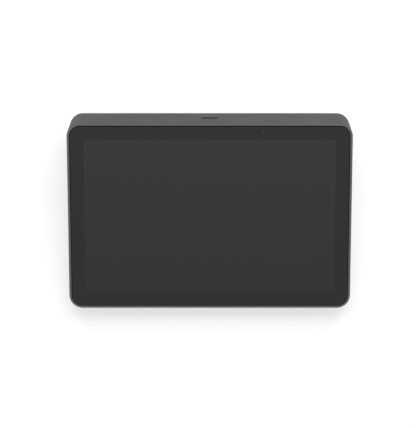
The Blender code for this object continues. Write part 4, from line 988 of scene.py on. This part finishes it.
def screw(name, length):
    """A pan head with a cross recess, its top at height 0, and a cut thread below it."""
    profile = in_mm([(0, -0.02), (0.9, -0.02), (1.7, -0.1), (2.25, -0.3), (2.5, -0.6)])
    profile += in_mm([(2.58, -0.95), (2.58, -1.5), (2.45, -1.6), (1.25, -1.6), (1.25, -1.9)])
    profile += thread(SCREW_RADIUS, -1.9 * MM, -length + 0.8 * MM)
    profile += [(0.95 * MM, -length + 0.5 * MM), (0.5 * MM, -length), (0, -length)]
    piece = turned(name, profile, STEEL, sides=32)
    cut_to_shape(piece, SCREW_BEVEL, *cross_recess())
    add_wear(piece)
    shade(piece)
    return piece


def underside_screws():
    """The screws that show when the object is turned over. Those of one kind share a mesh."""
    kinds = {f"base_screw_{i}": "base_screw" for i in range(1, BASE_SCREWS + 1)}
    kinds.update(clamp_pivot_screw="clamp_screw", clamp_lock_screw="clamp_screw")
    meshes = {}
    for name, kind in kinds.items():
        low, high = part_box(name)
        if kind in meshes:
            piece = add_to_scene(bpy.data.objects.new(name + "_turned", meshes[kind]))
            shade(piece)
        else:
            piece = screw(kind, high.z - low.z)
            piece.name = name + "_turned"
            meshes[kind] = piece.data
        piece.matrix_world = turned_over(low, high)
        stand_for(piece, "display", name)


def knurl(piece, beyond, sides):
    """Draws in every second column of the vertices that are further than that from the axis."""
    for vert in piece.data.vertices:
        column = round(math.atan2(vert.co.y, vert.co.x) / (2 * math.pi) * sides)
        if math.hypot(vert.co.x, vert.co.y) > beyond and column % 2:
            vert.co.x *= KNURL
            vert.co.y *= KNURL


def threaded_inserts():
    """Knurled brass inserts with a threaded bore, flush with the underside."""
    wide, waist, mouth = 2.88 * MM, 2.6 * MM, 1.75 * MM
    for i in range(1, INSERTS + 1):
        low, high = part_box(f"mount_insert_{i}")
        length = high.z - low.z
        outside = [(2.75 * MM, 0.0), (wide, -0.15 * MM), (wide, -0.4 * length), (waist, -0.44 * length)]
        outside += [(waist, -0.54 * length), (wide, -0.58 * length), (wide, -0.92 * length)]
        outside += [(2.7 * MM, -length), (mouth, -length)]
        bore = [(2.05 * MM, 0.0)] + thread(1.98 * MM, -0.2 * MM, -length + 0.2 * MM) + [(mouth, -length)]
        piece = turned(f"insert_{i}", bore[::-1] + outside, BRASS, sides=48)
        knurl(piece, beyond=2.8 * MM, sides=48)
        add_wear(piece)
        piece.matrix_world = turned_over(low, high)
        stand_for(piece, "display", f"mount_insert_{i}")


# ---- cable door ------------------------------------------------------------------------------------------


def door_plate(half_x, front, rear, bottom):
    """A plate with soft edges, 1 mm round at the corners."""
    top = bottom + DOOR_THICKNESS
    middle, half_y = (front + rear) / 2, (rear - front) / 2
    levels = [(0.3 * MM, bottom), (0.09 * MM, bottom + 0.09 * MM), (0.0, bottom + 0.3 * MM)]
    levels += [(0.0, top - 0.2 * MM), (0.2 * MM, top)]
    rings = []
    for inset, z in levels:
        flat = outline(half_x - inset, half_y - inset, 1.0 * MM, 5, middle)
        rings.append(at_height(flat, z))
    bm = bmesh.new()
    loft(bm, rings, caps=True)
    return finish_mesh("door_panel", bm, DARK_PLASTIC)


def finger_scoop(front, bottom):
    """A ball that leaves a shallow dish at the middle of the door's front edge."""
    ball = (SCOOP_RADIUS**2 + SCOOP_DEPTH**2) / (2 * SCOOP_DEPTH)
    centre = Matrix.Translation((0, front, bottom + SCOOP_DEPTH - ball))
    bm = bmesh.new()
    bmesh.ops.create_uvsphere(bm, u_segments=96, v_segments=96, radius=ball, matrix=centre)
    return cutter("scoop", bm)


def grip_grooves(front, bottom):
    """Grooves across the door's outside, behind the scoop."""
    bm = bmesh.new()
    levels = [(0.0, bottom - 1 * MM), (0.0, bottom + GROOVE_DEPTH)]
    for k in range(GROOVES):
        pad(bm, *GROOVE, levels, 4, 0.0, front + FIRST_GROOVE + k * GROOVE_PITCH)
    return cutter("grooves", bm)


def add_ribs(bm, middle_y, top):
    """Two low ribs on the inside of the plate."""
    levels = [(0.0, top - 0.2 * MM), (0.0, top + 0.25 * MM), (0.15 * MM, top + 0.35 * MM)]
    for side in (-1, 1):
        pad(bm, *RIB, levels, 3, side * RIB_X, middle_y)


def door_barrel(half_x, pivot):
    """The barrel round the hinge pins, with a groove between each knuckle and the next."""
    chamfer = 0.2 * MM
    profile = [(0, -half_x)]
    x = -half_x
    for _ in range(KNUCKLES):
        end = x + 2 * half_x / KNUCKLES
        profile += [(DOOR_BARREL - chamfer, x), (DOOR_BARREL, x + chamfer)]
        profile += [(DOOR_BARREL, end - chamfer), (DOOR_BARREL - chamfer, end)]
        x = end
    profile.append((0, half_x))
    tube = turned("barrel", profile[::-1], DARK_PLASTIC, sides=40)
    tube.data.transform(Matrix.Translation(pivot) @ ALONG_X)
    return tube


def door():
    """The cable door: a plate with a finger scoop and grip grooves outside, ribs inside, and its barrel."""
    low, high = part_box("cable_door")
    pivot = Vector((0, high.y - DOOR_BARREL, low.z + DOOR_BARREL))
    front, rear = low.y, pivot.y - DOOR_BARREL_GAP
    piece = door_plate(high.x, front, rear, low.z)
    cut_to_shape(piece, DOOR_BEVEL, finger_scoop(front, low.z), grip_grooves(front, low.z))
    bm = bmesh.new()
    bm.from_mesh(piece.data)
    add_ribs(bm, (front + rear) / 2, low.z + DOOR_THICKNESS)
    tube = door_barrel(high.x, pivot)
    bm.from_mesh(tube.data)
    bpy.data.objects.remove(tube)
    bm.to_mesh(piece.data)
    bm.free()
    add_wear(piece)
    shade(piece)
    stand_for(piece, "door", "cable_door")


# ---- the CAD nodes that stay -----------------------------------------------------------------------------

SOFT_EDGES = {
    "base_cover": 0.2 * MM,
    "cable_clamp": 0.3 * MM,
    "reset_button": 0.3 * MM,
    "lock_plate": 0.15 * MM,
    "usb_c_port": 0.1 * MM,
    "hdmi_port": 0.1 * MM,
    "ethernet_port": 0.15 * MM,
}


def dress_cad_nodes():
    """The material of its slot on each node that no piece replaces, and softened edges on those that show."""
    slots = {entry["node"]: entry["material_slot"] for entry in frame["record"]["subparts"]}
    for name, piece in frame["nodes"].items():
        if piece.hide_render:
            continue
        piece.data.materials.clear()
        piece.data.materials.append(SLOT_MATERIALS[slots[name]])
        piece.data.attributes.new("wear", "FLOAT", "POINT")
        break_at(piece, 30.0)
        if name in SOFT_EDGES:
            soften(piece, SOFT_EDGES[name])
            weigh_normals(piece)


housing()
front_glass()
sensor_lens()
rear_badge()
feet()
jack_ring()
underside_screws()
threaded_inserts()
door()
dress_cad_nodes()
